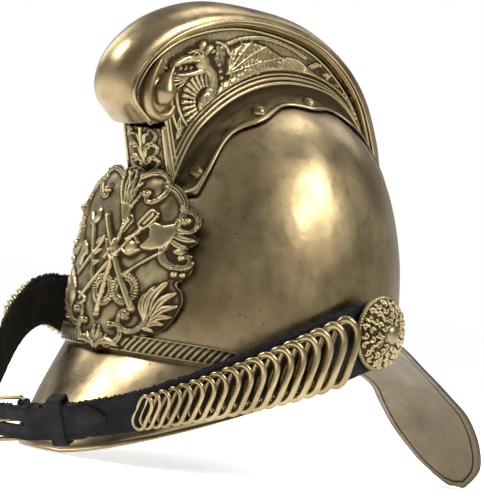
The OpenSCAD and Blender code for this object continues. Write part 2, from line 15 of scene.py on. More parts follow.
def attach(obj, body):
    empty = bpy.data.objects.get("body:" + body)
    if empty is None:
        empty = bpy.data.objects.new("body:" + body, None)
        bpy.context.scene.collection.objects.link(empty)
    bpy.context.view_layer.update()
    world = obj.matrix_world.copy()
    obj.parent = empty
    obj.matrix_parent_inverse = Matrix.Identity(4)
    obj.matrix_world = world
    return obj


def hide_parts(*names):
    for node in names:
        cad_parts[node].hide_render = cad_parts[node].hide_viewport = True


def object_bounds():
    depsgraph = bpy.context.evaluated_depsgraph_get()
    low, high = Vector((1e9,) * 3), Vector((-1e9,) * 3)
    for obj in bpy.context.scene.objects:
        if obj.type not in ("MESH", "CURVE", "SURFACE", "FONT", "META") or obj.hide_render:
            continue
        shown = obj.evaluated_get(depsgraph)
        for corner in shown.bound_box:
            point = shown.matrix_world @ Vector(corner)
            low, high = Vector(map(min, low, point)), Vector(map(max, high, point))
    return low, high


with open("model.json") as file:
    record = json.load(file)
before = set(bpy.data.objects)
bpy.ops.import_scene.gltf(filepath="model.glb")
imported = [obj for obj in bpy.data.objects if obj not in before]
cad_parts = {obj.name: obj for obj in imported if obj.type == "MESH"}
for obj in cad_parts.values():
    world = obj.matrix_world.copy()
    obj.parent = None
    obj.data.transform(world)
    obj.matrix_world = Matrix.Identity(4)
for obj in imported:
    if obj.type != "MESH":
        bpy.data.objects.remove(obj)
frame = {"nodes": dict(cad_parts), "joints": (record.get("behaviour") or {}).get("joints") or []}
CAD_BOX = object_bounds()
JOINTS = {joint["name"]: joint for joint in frame["joints"]}
HINGE = np.array(JOINTS["chin_strap_swing"]["pos_m"]) * 1000
BUCKLE = np.array(JOINTS["buckle_tilt"]["pos_m"]) * 1000

# ---------- dimensions, in millimetres and degrees ----------

SKULL_Y = HINGE[1] - 20
SKULL_HALF_WIDTH = 96
SKULL_HALF_LENGTH = 107
SKULL_HEIGHT = 170
BROW_Z = 64
NAPE_RISE = 24
SHEET_T = 1.1
LAP_GAP = 0.5
SKULL_POWER = 2.3
CROWN_LEAN = 11
RISE_FROM, RISE_TO = -53, 37

PEAK_HALF_WIDTH = 91
PEAK_REACH = 147
PEAK_SLOPE = 0.43
PEAK_END_Y = 32
PEAK_FLAT = 4
GUARD_EDGE = [(63, 84, 91), (54, 107, 84), (47, 128, 76), (40, 152, 67), (38, 166, 60),
              (41.5, 180, 49), (39.5, 195.5, 33), (29, 212, 15), (9, 223, 1.4)]
GUARD_MIDDLE = [(0, 111, 88), (0, 125, 83), (0, 138, 78), (0, 154, 70), (0, 167, 62),
                (0, 181, 50.5), (0, 197, 34), (0, 213, 16), (0, 224.5, 0.5)]

CREST_LINE = [(101, 190), (94, 212), (74, 243), (47, 265), (11, 280), (-28, 284),
              (-69, 282), (-103, 270), (-127, 251), (-137, 232), (-133, 213), (-115, 200)]
HOOD_EDGE = [(87, 198), (74, 222), (57, 243), (31, 262), (2, 272), (-34, 275),
             (-65, 271), (-96, 259), (-116, 243), (-126, 226), (-125, 214), (-111, 203)]
COMB_CENTRE = np.array((-18, 190))
HOOD_HALF_WIDTH = 20
NOSE_HALF_WIDTH = 17
COMB_HALF_WIDTH = 18.5
FRONT_FOOT = np.array((-86.5, 170))
FRONT_LEAN = 20
FRONT_HEIGHT = 37
SCALLOP_PITCH = 39.5
FIRST_SCALLOP = -83

BAND_HEIGHT = 11
ROSETTE_R = 22.5
ROSETTE_DOME = 9
STRAP_WIDE = 44
STRAP_NARROW = 22
STRAP_T = 3
TONGUE_T = 2.6
TAB_INNER_X = 98.3
TAB_OUTER_X = 101.3
STRAP_REACH = 187
STRAP_FALL = 0.426
FAR_BOW = 36
BUCKLE_ANGLE = 85.5
TONGUE_TIP_ANGLE = 60
LINKS_PER_SIDE = 18
FRAME_L = 22
FRAME_SIDE = 12.9
FRAME_RISE = 8.8
PRONG_GAP = 4.6
LINER_OUT = -11

CURL_R = 1.6
CURL_ROWS = ((22, 18.8, 0), (17, 15.0, 11), (12, 11.3, 5), (8, 8.0, 20))

CAMERA_AZIMUTH = 47
CAMERA_ELEVATION = -0.25
CAMERA_TIP = 8.7
CAMERA_DISTANCE = 2.0
CAMERA_LENS = 230.4
FLOOR_REACH = 9000
FLOOR_GLOW = 0.72
# name, azimuth, elevation, distance in metres, size in metres, power in watts
LIGHTS = (("key", 109, 41, 1.3, (0.55, 0.5), 9.5), ("front", 330, 46, 1.4, (0.6, 0.5), 11),
          ("top", 200, 68, 1.3, (0.6, 0.5), 2.8), ("back_rim", 195, 40, 1.8, (0.6, 0.6), 1.5),
          ("far_side", 275, 30, 1.6, (0.6, 0.8), 5))

MIRROR = np.array((-1, 1, 1))
rng = np.random.default_rng(7)

# ---------- small helpers ----------


def clamp01(v):
    return np.clip(v, 0, 1)


def smooth(v):
    t = clamp01(v)
    return t * t * (3 - 2 * t)


def mix(a, b, t):
    return a * (1 - t) + b * t


def unit(v):
    return v / np.maximum(np.linalg.norm(v, axis=-1, keepdims=True), 1e-9)


def sind(a):
    return np.sin(np.radians(a))


def cosd(a):
    return np.cos(np.radians(a))


def signed_pow(v, p):
    return np.sign(v) * np.abs(v) ** p


def direction(angle):
    return np.array((cosd(angle), sind(angle)))


def ridge(distance, radius):
    """Round section of a moulding: 1 on its middle line, 0 from the radius outwards."""
    return np.sqrt(np.maximum(0, 1 - (distance / radius) ** 2))


def notch(distance, width):
    """Soft section of a cut line: 1 on its middle line, fading to 0."""
    return np.exp(-(distance / width) ** 2)


def xyz(x, y, z):
    """Points from coordinates of any shapes that fit each other."""
    return np.stack(np.broadcast_arrays(x, y, z), -1)


def spline(points, t):
    """Points at the shares t, from 0 to 1, on a smooth curve through the given points."""
    p = np.array(points, float)
    n = len(p) - 1
    t = np.asarray(t, float)
    i = np.minimum(np.floor(t * n), n - 1).astype(int)
    f = (t * n - i)[..., None]
    a, b, c, d = p[np.maximum(i - 1, 0)], p[i], p[i + 1], p[np.minimum(i + 2, n)]
    return 0.5 * (2 * b + (c - a) * f + (2 * a - 5 * b + 4 * c - d) * f ** 2
                  + (3 * b - a - 3 * c + d) * f ** 3)


def ripples(points, size, waves=10):
    """Smooth random bumps about size millimetres across, from -1 to 1 or so."""
    total = np.zeros(points.shape[:-1])
    for _ in range(waves):
        way = unit(rng.normal(size=points.shape[-1]))
        total += np.sin(points @ way * (2 * math.pi / size) * rng.uniform(0.7, 1.4)
                        + rng.uniform(0, 2 * math.pi))
    return total / math.sqrt(waves * 2)


def grid_normals(grid, closed):
    """Outward directions at the points of a grid."""
    if closed:
        along = np.roll(grid, -1, 1) - np.roll(grid, 1, 1)
    else:
        along = np.gradient(grid, axis=1)
    return unit(np.cross(along, np.gradient(grid, axis=0)))


def blurred(heights, closed, passes):
    """Heights averaged with their neighbours, that many times."""
    h = heights.copy()
    for _ in range(passes):
        p = np.pad(h, ((1, 1), (0, 0)), "edge")
        h = (p[:-2] + p[2:] + 2 * h) / 4
        p = np.pad(h, ((0, 0), (1, 1)), "wrap" if closed else "edge")
        h = (p[:, :-2] + p[:, 2:] + 2 * h) / 4
    return h


# ---------- meshes ----------


def finish_piece(mesh, name, material, body, replaces, wear=None):
    """Makes the object that shows a mesh, and ties it to its body and CAD nodes."""
    obj = bpy.data.objects.new(name, mesh)
    bpy.context.scene.collection.objects.link(obj)
    mesh.materials.append(material)
    mesh.polygons.foreach_set("use_smooth", np.ones(len(mesh.polygons), bool))
    # per-point value that the materials turn into patina and painted shade in hollows, and rubbed metal
    # with a painted highlight on ridges
    attribute = mesh.attributes.new("wear", "FLOAT", "POINT")
    if wear is None:
        wear = np.full(len(mesh.vertices), 0.5)
    attribute.data.foreach_set("value", np.asarray(wear, np.float32).ravel())
    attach(obj, body)
    if replaces:
        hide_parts(*replaces)
    return obj


def mesh_from(name, points, faces):
    """A mesh in metres from points in millimetres."""
    mesh = bpy.data.meshes.new(name)
    mesh.from_pydata((np.asarray(points).reshape(-1, 3) / 1000).tolist(), [], faces)
    mesh.validate()
    mesh.update()
    return mesh


def grid_faces(rows, cols, closed, keep=None):
    i, j = np.meshgrid(np.arange(rows - 1), np.arange(cols if closed else cols - 1), indexing="ij")
    k = (j + 1) % cols
    quads = np.stack([i * cols + j, i * cols + k, (i + 1) * cols + k, (i + 1) * cols + j], -1)
    quads = quads.reshape(-1, 4)
    if keep is not None:
        quads = quads[keep.ravel()[quads].any(1)]
    return quads.tolist()


def used_only(points, faces, wear):
    """The same mesh without the points that no face uses."""
    used = np.unique(np.array(faces))
    place = np.full(len(points), -1)
    place[used] = np.arange(len(used))
    return points[used], place[np.array(faces)].tolist(), wear[used]


def worn_and_lit(heights, closed, depth):
    """Wear and painted light of an embossed surface: 0 in its hollows, which take patina and painted shade,
    0.5 where it is plain, 1 on its ridges, which take rubbed metal and a painted highlight.
    """
    near = heights - blurred(heights, closed, 5)
    wide = heights - blurred(heights, closed, 36)
    return np.clip(0.5 + (0.6 * near + 0.55 * wide) / depth, 0, 1)


def sheet(name, grid, thickness, material, body, replaces, height=None, closed=False,
          keep=None, depth=0.7, bevel=0.0):
    """A sheet whose outer face is the grid raised by height; keep says which points stay."""
    if height is None:
        height = np.zeros(grid.shape[:2])
    outer = grid + grid_normals(grid, closed) * height[..., None]
    # 0 in hollows, where the materials paint shade along with patina; 1 on ridges, where they paint a
    # highlight along with rubbing
    wear = worn_and_lit(height, closed, depth).ravel()
    faces = grid_faces(grid.shape[0], grid.shape[1], closed, keep)
    points, faces, wear = used_only(outer.reshape(-1, 3), faces, wear)
    mesh = mesh_from(name, points, faces)
    obj = finish_piece(mesh, name, material, body, replaces, wear)
    solid = obj.modifiers.new("thickness", "SOLIDIFY")
    solid.thickness = thickness / 1000
    solid.offset = -1
    if bevel:
        edge = obj.modifiers.new("edge", "BEVEL")
        edge.width = bevel / 1000
        edge.segments = 2
        edge.limit_method = "ANGLE"
        edge.angle_limit = math.radians(55)
    return obj


def frames_along(path, closed):
    """Tangent and two cross directions at each point of a path, without sudden twists."""
    if closed:
        tangent = unit(np.roll(path, -1, 0) - np.roll(path, 1, 0))
    else:
        tangent = unit(np.gradient(path, axis=0))
    start = np.array((0.0, 0.0, 1.0)) if abs(tangent[0][2]) < 0.9 else np.array((1.0, 0.0, 0.0))
    side = unit(np.cross(tangent[0], start))
    sides = []
    for t in tangent:
        side = unit(side - (side @ t) * t)
        sides.append(side)
    sides = np.array(sides)
    return tangent, sides, np.cross(tangent, sides)


def tube_data(path, radius, sides=10, closed=False):
    """Points and faces of a round tube; its ends are closed unless the path is a loop."""
    path = np.asarray(path, float)
    radius = np.broadcast_to(np.asarray(radius, float), len(path))
    _, a, b = frames_along(path, closed)
    q = np.arange(sides) * 2 * math.pi / sides
    ring = (a[:, None] * np.cos(q)[None, :, None] + b[:, None] * np.sin(q)[None, :, None])
    points = (path[:, None] + ring * radius[:, None, None]).reshape(-1, 3)
    n = len(path)
    faces = []
    for i in range(n if closed else n - 1):
        for k in range(sides):
            p, r = i * sides, ((i + 1) % n) * sides
            faces.append((p + k, p + (k + 1) % sides, r + (k + 1) % sides, r + k))
    if not closed:
        faces.append(tuple(range(sides))[::-1])
        faces.append(tuple((n - 1) * sides + k for k in range(sides)))
    return points, faces


def lathe_data(profile, around=48, height=None):
    """Points and faces of a turned shape about Z; the profile runs from its low to its high end."""
    profile = np.asarray(profile, float)
    q = np.arange(around) * 2 * math.pi / around
    r, z = profile[:, 0][:, None], profile[:, 1][:, None]
    grid = np.stack([r * np.cos(q), r * np.sin(q), z + 0 * q], -1)
    if height is not None:
        grid = grid + grid_normals(grid, True) * height(grid)[..., None]
    faces = grid_faces(len(profile), around, True)
    faces.append(tuple(range(around))[::-1])
    faces.append(tuple((len(profile) - 1) * around + k for k in range(around)))
    return grid.reshape(-1, 3), faces


def joined(parts):
    """Several (points, faces) as one."""
    points, faces, count = [], [], 0
    for p, f in parts:
        points.append(p)
        faces += [tuple(v + count for v in face) for face in f]
        count += len(p)
    return np.concatenate(points), faces


def placed(part, origin, a, b, c):
    """A part drawn along its own X, Y and Z, put on the axes a, b and c at origin."""
    points, faces = part
    moved = points @ np.array([a, b, c], float) + np.asarray(origin, float)
    if np.linalg.det(np.array([a, b, c], float)) < 0:
        faces = [tuple(face)[::-1] for face in faces]
    return moved, faces


def mirrored(part):
    """The same part on the helmet's other side."""
    return part[0] * MIRROR, [tuple(face)[::-1] for face in part[1]]


def piece(name, part, material, body, replaces, wear=None):
    return finish_piece(mesh_from(name, *part), name, material, body, replaces, wear)


# ---------- embossing ----------


def enclosed(places, line):
    """Which places lie inside a closed line: those with an odd number of its edges to one side."""
    x, y = places[..., 0], places[..., 1]
    inside = np.zeros(x.shape, bool)
    for (x0, y0), (x1, y1) in zip(line[:-1], line[1:]):
        crosses = (y0 > y) != (y1 > y)
        inside ^= crosses & (x < (x1 - x0) * (y - y0) / (y1 - y0 if y1 != y0 else 1e-9) + x0)
    return inside


class Relief:
    """Heights over a grid of flat places, raised by strokes, balls and scrolls."""

    def __init__(self, places):
        self.places = places
        self.h = np.zeros(places.shape[:2])

    def near(self, points, reach):
        lo, hi = points.min(0) - reach, points.max(0) + reach
        return np.all((self.places >= lo) & (self.places <= hi), axis=-1)

    def measured(self, line, reach):
        """Points near the line, their distance, signed side and length along it."""
        mask = self.near(line, reach)
        q = self.places[mask]
        best = np.full(len(q), 1e9)
        side = np.zeros(len(q))
        run = np.zeros(len(q))
        start = 0.0
        for a, b in zip(line[:-1], line[1:]):
            d = b - a
            length = max(np.hypot(*d), 1e-6)
            t = clamp01(((q - a) @ d) / length ** 2)
            gap = q - a - t[:, None] * d
            far = np.hypot(gap[:, 0], gap[:, 1])
            closer = far < best
            best[closer] = far[closer]
            side[closer] = (np.sign(d[0] * gap[:, 1] - d[1] * gap[:, 0]) * far)[closer]
            run[closer] = (start + t * length)[closer]
            start += length
        return mask, best, side, run / max(start, 1e-6), start

    def raise_to(self, mask, heights):
        self.h[mask] = np.maximum(self.h[mask], heights)

    def stroke(self, points, width, height, end_width=None, strands=0, twist=0.0, swell=False,
               base=0.0):
        """A rounded ridge along a smooth line, with optional strands or rope twist."""
        end_width = width if end_width is None else end_width
        line = spline(points, np.linspace(0, 1, 10 * len(points))) if len(points) > 2 \
            else np.array(points, float)
        reach = max(width, end_width)
        mask, far, side, run, length = self.measured(line, reach)
        w = mix(width, end_width, run)
        if swell:
            w = width * np.maximum(0.12, np.sin(math.pi * clamp01(0.06 + 0.9 * run))) ** 0.8
        share = clamp01(far / np.maximum(w, 1e-6))
        h = height * np.sqrt(np.maximum(0, 1 - share ** 2))
        if strands:
            h = h * (0.62 + 0.38 * np.cos(math.pi * strands * side / np.maximum(w, 1e-6)))
        if twist:
            h = h * (0.6 + 0.4 * np.cos(2 * math.pi * (run * length + 1.2 * side) / twist))
        self.raise_to(mask, np.where(share < 1, base + h, 0))
        return self

    def leaf(self, root, tip, width, height, bend=0.0):
        """A pointed leaf with a vein down its middle."""
        root, tip = np.array(root, float), np.array(tip, float)
        across = np.array((-(tip - root)[1], (tip - root)[0])) * bend
        line = spline([root, (root + tip) / 2 + across, tip], np.linspace(0, 1, 16))
        mask, far, _, run, _ = self.measured(line, width)
        w = width * np.maximum(0.02, np.sin(math.pi * clamp01(0.1 + 0.9 * run))) ** 0.75
        share = clamp01(far / w)
        vein = 0.45 * notch(far, 0.45)
        self.raise_to(mask, np.where(share < 1, height * (np.sqrt(1 - share ** 2) - vein), 0))
        return self

    def ball(self, centre, radius, height=None, base=0.0):
        height = radius if height is None else height
        centre = np.array(centre, float)
        mask = self.near(centre[None], radius)
        far = np.linalg.norm(self.places[mask] - centre, axis=-1) / radius
        self.raise_to(mask, np.where(far < 1, base + height * ridge(far, 1), 0))
        return self

    def scroll(self, points, width, height, ball=None, strands=2):
        """A moulding that curls in and ends in a ball."""
        self.stroke(points, width, height, width * 0.55, strands)
        if ball:
            self.ball(points[-1], ball, height + 0.9)
        return self

    def ring(self, centre, radius, width, height, twist=0.0):
        q = np.linspace(0, 2 * math.pi, 33)
        line = np.array(centre) + radius * np.stack([np.cos(q), np.sin(q)], -1)
        mask, far, side, run, length = self.measured(line, width)
        h = height * ridge(far, width)
        if twist:
            h = h * (0.55 + 0.45 * np.cos(2 * math.pi * round(length / twist) * run + side))
        self.raise_to(mask, h)
        return self

    def fill(self, outline, height, edge=1.0, pebbles=0.0):
        """Raises the inside of a closed outline, sloping down over the given edge."""
        line = np.array(list(outline) + [outline[0]], float)
        mask, far, _, _, _ = self.measured(line, 0.1)
        q = self.places[mask]
        h = height * smooth(far / edge)
        if pebbles:
            h = h + pebbles * (np.cos(q[:, 0] * 4.1) * np.cos(q[:, 1] * 3.7 + q[:, 0]) - 0.4)
        self.raise_to(mask, np.where(enclosed(q, line), h, 0))
        return self


# ---------- materials ----------


def node_tree(name):
    material = bpy.data.materials.new(name)
    material.use_nodes = True
    tree = material.node_tree
    shader = tree.nodes["Principled BSDF"]
    return material, tree, shader


def add(tree, kind, **values):
    node = tree.nodes.new(kind)
    for key, value in values.items():
        if hasattr(node, key):
            setattr(node, key, value)
        else:
            node.inputs[key.replace("_", " ").title()].default_value = value
    return node


def feed(tree, node, **inputs):
    """Gives a node's inputs their values: a constant, or another node's output."""
    for key, value in inputs.items():
        socket = node.inputs[key.replace("_", " ")]
        if isinstance(value, bpy.types.NodeSocket):
            tree.links.new(value, socket)
        else:
            socket.default_value = value


def noise(tree, place, scale, detail=3.0, stretch=None):
    if stretch:
        mapping = add(tree, "ShaderNodeMapping")
        feed(tree, mapping, Scale=stretch, Vector=place)
        place = mapping.outputs["Vector"]
    node = add(tree, "ShaderNodeTexNoise", scale=scale, detail=detail)
    feed(tree, node, Vector=place)
    return node.outputs["Fac"]


def ramp(tree, factor, stops):
    node = add(tree, "ShaderNodeValToRGB")
    elements = node.color_ramp.elements
    while len(elements) < len(stops):
        elements.new(0.5)
    for element, (position, colour) in zip(elements, stops):
        element.position = position
        element.color = (*colour, 1)
    feed(tree, node, Fac=factor)
    return node.outputs["Color"]


def grey(tree, factor, low, high, start=0.0, end=1.0):
    node = add(tree, "ShaderNodeMapRange")
    feed(tree, node, Value=factor, From_Min=start, From_Max=end, To_Min=low, To_Max=high)
    return node.outputs["Result"]


def blend_colour(tree, factor, a, b):
    node = add(tree, "ShaderNodeMix", data_type="RGBA")
    for value, place in ((factor, 0), (a, 6), (b, 7)):
        if isinstance(value, tuple):
            node.inputs[place].default_value = (*value, 1)
        elif isinstance(value, float):
            node.inputs[place].default_value = value
        else:
            tree.links.new(value, node.inputs[place])
    return node.outputs[2]


def bump(tree, height, strength, distance, normal=None):
    node = add(tree, "ShaderNodeBump")
    feed(tree, node, Strength=strength, Distance=distance, Height=height)
    if normal is not None:
        feed(tree, node, Normal=normal)
    return node.outputs["Normal"]


def aged_brass(name, dark, middle, light, rough=(0.24, 0.44), cavity=(0.045, 0.032, 0.016),
               dents=0.35, patches=26.0):
    """Old brass: patchy tone, dark patina with painted shade in hollows, brighter worn ridges with a
    painted highlight, pits and scratches.
    """
    material, tree, shader = node_tree(name)
    place = add(tree, "ShaderNodeTexCoord").outputs["Object"]
    wear = add(tree, "ShaderNodeAttribute", attribute_name="wear").outputs["Fac"]
    broad = noise(tree, place, patches, 5.0)
    fine = noise(tree, place, 160.0, 6.0)
    tone = ramp(tree, broad, [(0.3, dark), (0.48, middle), (0.66, light)])
    speckled = blend_colour(tree, grey(tree, fine, 0.0, 0.55, 0.5, 0.72), tone, dark)
    pits = add(tree, "ShaderNodeTexVoronoi", scale=210.0)
    feed(tree, pits, Vector=place)
    pit = grey(tree, pits.outputs["Distance"], 1.0, 0.0, 0.05, 0.16)
    sparse = grey(tree, noise(tree, place, 45.0, 2.0), 0.0, 1.0, 0.52, 0.62)
    pit_mask = add(tree, "ShaderNodeMath", operation="MULTIPLY")
    tree.links.new(pit, pit_mask.inputs[0])
    tree.links.new(sparse, pit_mask.inputs[1])
    pitted = blend_colour(tree, pit_mask.outputs[0], speckled, cavity)
    # hollows take the dark cavity colour: real patina, and painted shade too
    hollowed = blend_colour(tree, grey(tree, wear, 0.96, 0.0, 0.2, 0.49), pitted, cavity)
    # ridges take a lighter colour: rubbed brass, and a painted highlight too
    bright = tuple(min(1.0, c * 1.3) for c in light)
    final = blend_colour(tree, grey(tree, wear, 0.0, 0.9, 0.55, 0.95), hollowed, bright)
    smear = noise(tree, place, 60.0, 6.0, (1.0, 1.0, 0.35))
    roughness = add(tree, "ShaderNodeMath", operation="ADD")
    tree.links.new(grey(tree, smear, rough[0], rough[1], 0.35, 0.65), roughness.inputs[0])
    tree.links.new(grey(tree, wear, 0.3, 0.0, 0.15, 0.48), roughness.inputs[1])
    dented = bump(tree, noise(tree, place, 38.0, 3.0), dents, 0.0012)
    scratches = noise(tree, place, 520.0, 3.0, (1.0, 0.12, 0.5))
    scratched = bump(tree, scratches, 0.10, 0.0002, dented)
    grained = bump(tree, fine, 0.12, 0.0004, scratched)
    feed(tree, shader, Base_Color=final, Metallic=1.0, Roughness=roughness.outputs[0],
         Normal=grained)
    return material


def leather(name, base, worn_and_lit, rough, grain=420.0):
    """Grained leather, rubbed lighter with a painted highlight where it is raised or bent, and darkened
    with painted shade in its hollows.
    """
    material, tree, shader = node_tree(name)
    place = add(tree, "ShaderNodeTexCoord").outputs["Object"]
    wear = add(tree, "ShaderNodeAttribute", attribute_name="wear").outputs["Fac"]
    cells = add(tree, "ShaderNodeTexVoronoi", scale=grain, feature="DISTANCE_TO_EDGE")
    feed(tree, cells, Vector=place)
    broad = noise(tree, place, 55.0, 6.0)
    tone = blend_colour(tree, grey(tree, broad, 0.0, 0.85, 0.46, 0.68), base, worn_and_lit)
    # raised places take the lighter colour: rubbing, and a painted highlight too
    rubbed = blend_colour(tree, grey(tree, wear, 0.0, 0.8, 0.55, 0.9), tone, worn_and_lit)
    # hollows such as the tooled line are darkened: painted shade
    hollow = tuple(c * 0.35 for c in base)
    colour = blend_colour(tree, grey(tree, wear, 1.0, 0.0, 0.1, 0.45), rubbed, hollow)
    roughness = grey(tree, noise(tree, place, 120.0, 4.0), rough[0], rough[1], 0.35, 0.65)
    grained = bump(tree, cells.outputs["Distance"], 0.35, 0.0006)
    creased = bump(tree, noise(tree, place, 90.0, 5.0), 0.5, 0.0008, grained)
    feed(tree, shader, Base_Color=colour, Roughness=roughness, Normal=creased,
         Specular_IOR_Level=0.22)
    return material


def braided(name, base, dark):
    """Cotton lace: a fine diagonal braid."""
    material, tree, shader = node_tree(name)
    place = add(tree, "ShaderNodeTexCoord").outputs["Object"]
    wave = add(tree, "ShaderNodeTexWave", scale=330.0, bands_direction="DIAGONAL")
    feed(tree, wave, Vector=place)
    strands = wave.outputs["Fac"]
    feed(tree, shader, Base_Color=blend_colour(tree, strands, dark, base), Roughness=0.9,
         Sheen_Weight=0.4, Normal=bump(tree, strands, 0.6, 0.0006))
    return material


SHELL = aged_brass("shell_brass", (0.235, 0.17, 0.085), (0.345, 0.26, 0.137),
                   (0.44, 0.34, 0.19), rough=(0.25, 0.40), patches=16.0)
RELIEF = aged_brass("relief_brass", (0.18, 0.14, 0.068), (0.29, 0.232, 0.122), (0.42, 0.34, 0.185),
                    rough=(0.27, 0.42), dents=0.1)
BRIGHT = aged_brass("bright_brass", (0.25, 0.19, 0.095), (0.39, 0.305, 0.16), (0.54, 0.435, 0.24),
                    rough=(0.18, 0.32), dents=0.1)
DULL = aged_brass("dull_brass", (0.16, 0.125, 0.08), (0.21, 0.168, 0.108), (0.255, 0.205, 0.133),
                  rough=(0.42, 0.56), patches=16.0)
TARNISHED = aged_brass("tarnished_brass", (0.09, 0.065, 0.035), (0.16, 0.12, 0.065),
                       (0.26, 0.195, 0.105), rough=(0.4, 0.6))
BLACK_LEATHER = leather("black_leather", (0.006, 0.0055, 0.006), (0.020, 0.017, 0.016), (0.55, 0.78))
TAN_LEATHER = leather("tan_leather", (0.15, 0.075, 0.035), (0.27, 0.15, 0.08), (0.5, 0.75))
LACE = braided("cotton_lace", (0.6, 0.55, 0.44), (0.3, 0.26, 0.2))

# ---------- skull, peak and neck guard ----------


def dome(x, yp, out=0.0):
    """Points of the skull above a place in plan, moved out by a distance."""
    s = np.minimum(1, np.hypot(x / (SKULL_HALF_WIDTH + out), yp / (SKULL_HALF_LENGTH + out)))
    k = (1 - s ** SKULL_POWER) ** (1 / SKULL_POWER)
    return xyz(x, SKULL_Y + yp + CROWN_LEAN * k * k, BROW_Z + (SKULL_HEIGHT + out) * k)


def dome_ring(angle, k, out=0.0):
    """Points of the skull at an angle round it and a share k of its height."""
    s = (1 - k ** SKULL_POWER) ** (1 / SKULL_POWER)
    return xyz((SKULL_HALF_WIDTH + out) * s * cosd(angle),
               SKULL_Y + (SKULL_HALF_LENGTH + out) * s * sind(angle) + CROWN_LEAN * k * k,
               BROW_Z + (SKULL_HEIGHT + out) * k)


def edge_rise(angle):
    """How far the skull's lower edge has risen towards the nape."""
    return NAPE_RISE * smooth((SKULL_HALF_LENGTH * sind(angle) - RISE_FROM) / (RISE_TO - RISE_FROM))


def edge_share(angle):
    return edge_rise(angle) / SKULL_HEIGHT


def make_skull():
    """Beaten shell, open below, with shallow dents."""
    around, rings, top = 240, 84, 86
    angle = np.arange(around) * 360 / around
    low = np.degrees(np.arcsin(edge_share(angle) ** (SKULL_POWER / 2)))
    t = np.linspace(0, 1, rings)[:, None]
    k = sind(mix(low, top, t)) ** (2 / SKULL_POWER)
    grid = dome_ring(angle[None], k)
    height = 0.22 * ripples(grid, 60) + 0.07 * ripples(grid, 24)
    sheet("skull_shell", grid, SHEET_T, SHELL, "helmet", ["skull"], height,
          closed=True, depth=3)


def peak_edge(f):
    """Points of the peak's outer edge, from its left end to its right one."""
    angle = -180 * f
    yr = PEAK_END_Y + (PEAK_REACH + PEAK_END_Y) * sind(angle)
    return xyz(PEAK_HALF_WIDTH * cosd(angle), SKULL_Y + yr,
               SHEET_T / 2 + PEAK_SLOPE * np.maximum(0, yr + PEAK_REACH - PEAK_FLAT))


def edge_bead(distance, radius, height):
    """Height of a rolled edge of that radius, at the distance from the sheet's edge."""
    return height * ridge(distance - radius, radius) * (distance < 2 * radius)


def make_peak():
    """Peak with a rolled wire edge and a short flange on the skull."""
    columns = 240
    f = np.linspace(0, 1, columns)
    out = LAP_GAP + SHEET_T
    angle = 16 - 212 * f
    root = dome_ring(angle, edge_share(angle), out)
    edge = peak_edge(f)
    length = np.linalg.norm(root - edge, axis=-1)
    near = np.array([0, 0.25, 0.6, 1.0, 1.4, 1.8, 2.1, 2.4, 3.2, 4.2]) / 70
    t = np.concatenate([1 - near, np.linspace(0.93, 0, 40)])[:, None]
    slope = mix((root - (0, 0, 1))[None], edge[None], t[..., None])
    slope = slope + np.stack([0 * t, 0 * t, t * (1 - t) * 12], -1) * sind(180 * f)[None, :, None]
    flange = np.stack([root + (0, 0, 1.5), root + (0, 0, 4)])
    grid = np.concatenate([slope, flange])[:, ::-1]
    distance = ((1 - t) * length[None])[:, ::-1]
    height = edge_bead(distance, 1.0, 0.9)
    height = np.concatenate([height, np.zeros((2, columns))])
    height[:-2] += 0.18 * ripples(grid[:-2], 45) * smooth((distance - 3) / 15)
    height[:-2] -= 0.25 * notch(distance - 3.4, 0.8)
    sheet("peak_shell", grid, SHEET_T, SHELL, "helmet", ["front_peak"], height,
          depth=1.2)


def guard_point(u, v):
    """Points of the neck guard: u across it from -1 to 1, v from root to tip."""
    edge, middle = spline(GUARD_EDGE, v), spline(GUARD_MIDDLE, v)
    return xyz(edge[..., 0] * u, SKULL_Y + mix(middle[..., 1], edge[..., 1], u * u),
               mix(middle[..., 2], edge[..., 2], u * u))


def make_neck_guard():
    """Long rounded tongue with an incised line just inside its flared edge."""
    across, along, margin = 101, 150, 6.5
    u = np.sin(np.linspace(90, -90, across) * math.pi / 180)
    v = 1 - np.linspace(0, 0.985, along) ** 1.15
    grid = guard_point(u[None], v[:, None])
    angle = np.degrees(np.arccos(np.clip(u * 63 / (SKULL_HALF_WIDTH + 1.6), -1, 1)))
    root = dome_ring(angle, edge_share(angle), LAP_GAP + SHEET_T)
    grid = np.concatenate([grid, [root - (0, 0, 1)], [root + (0, 0, 2)], [root + (0, 0, 5)]])
    half = spline(GUARD_EDGE, v)[:, 0]
    length = 150 * (1 - v)
    side = (1 - np.abs(u))[None] * half[:, None]
    tip = length[:, None] + 0 * side
    gap = np.minimum(side, tip) - 1.2 * notch(side - tip, 5)
    height = np.zeros(grid.shape[:2])
    height[:along] = 0.5 * edge_bead(gap, 0.7, 0.9) - 0.4 * notch(gap - margin, 0.5) \
        + 0.25 * smooth((margin - gap) / 4) + 0.15 * ripples(grid[:along], 40)
    sheet("neck_guard_shell", grid, SHEET_T, DULL, "helmet", ["neck_guard"], height,
          depth=0.8)


# ---------- comb ----------


def hood_width(s):
    return mix(HOOD_HALF_WIDTH, NOSE_HALF_WIDTH, smooth((s - 0.6) / 0.25)) - 5 * smooth((0.25 - s) / 0.25)


def tuck_x(s):
    return np.minimum(15.8, hood_width(s) - 1.5)


def panel_top_x(s):
    return tuck_x(s) - 2 - 2 * smooth((0.35 - s) / 0.35)


def side_view(x, p):
    """Points at the distance x from the middle, drawn in side view."""
    return xyz(x, SKULL_Y + p[..., 0], p[..., 1])


def panel_top(s):
    rim = spline(HOOD_EDGE, s)
    lip = 2 + 4 * smooth((s - 0.9) / 0.1)
    return rim + lip[..., None] * unit(COMB_CENTRE - rim)


def foot_place(s):
    return 76 - 166 * (1 - (1 - s) ** 1.8)


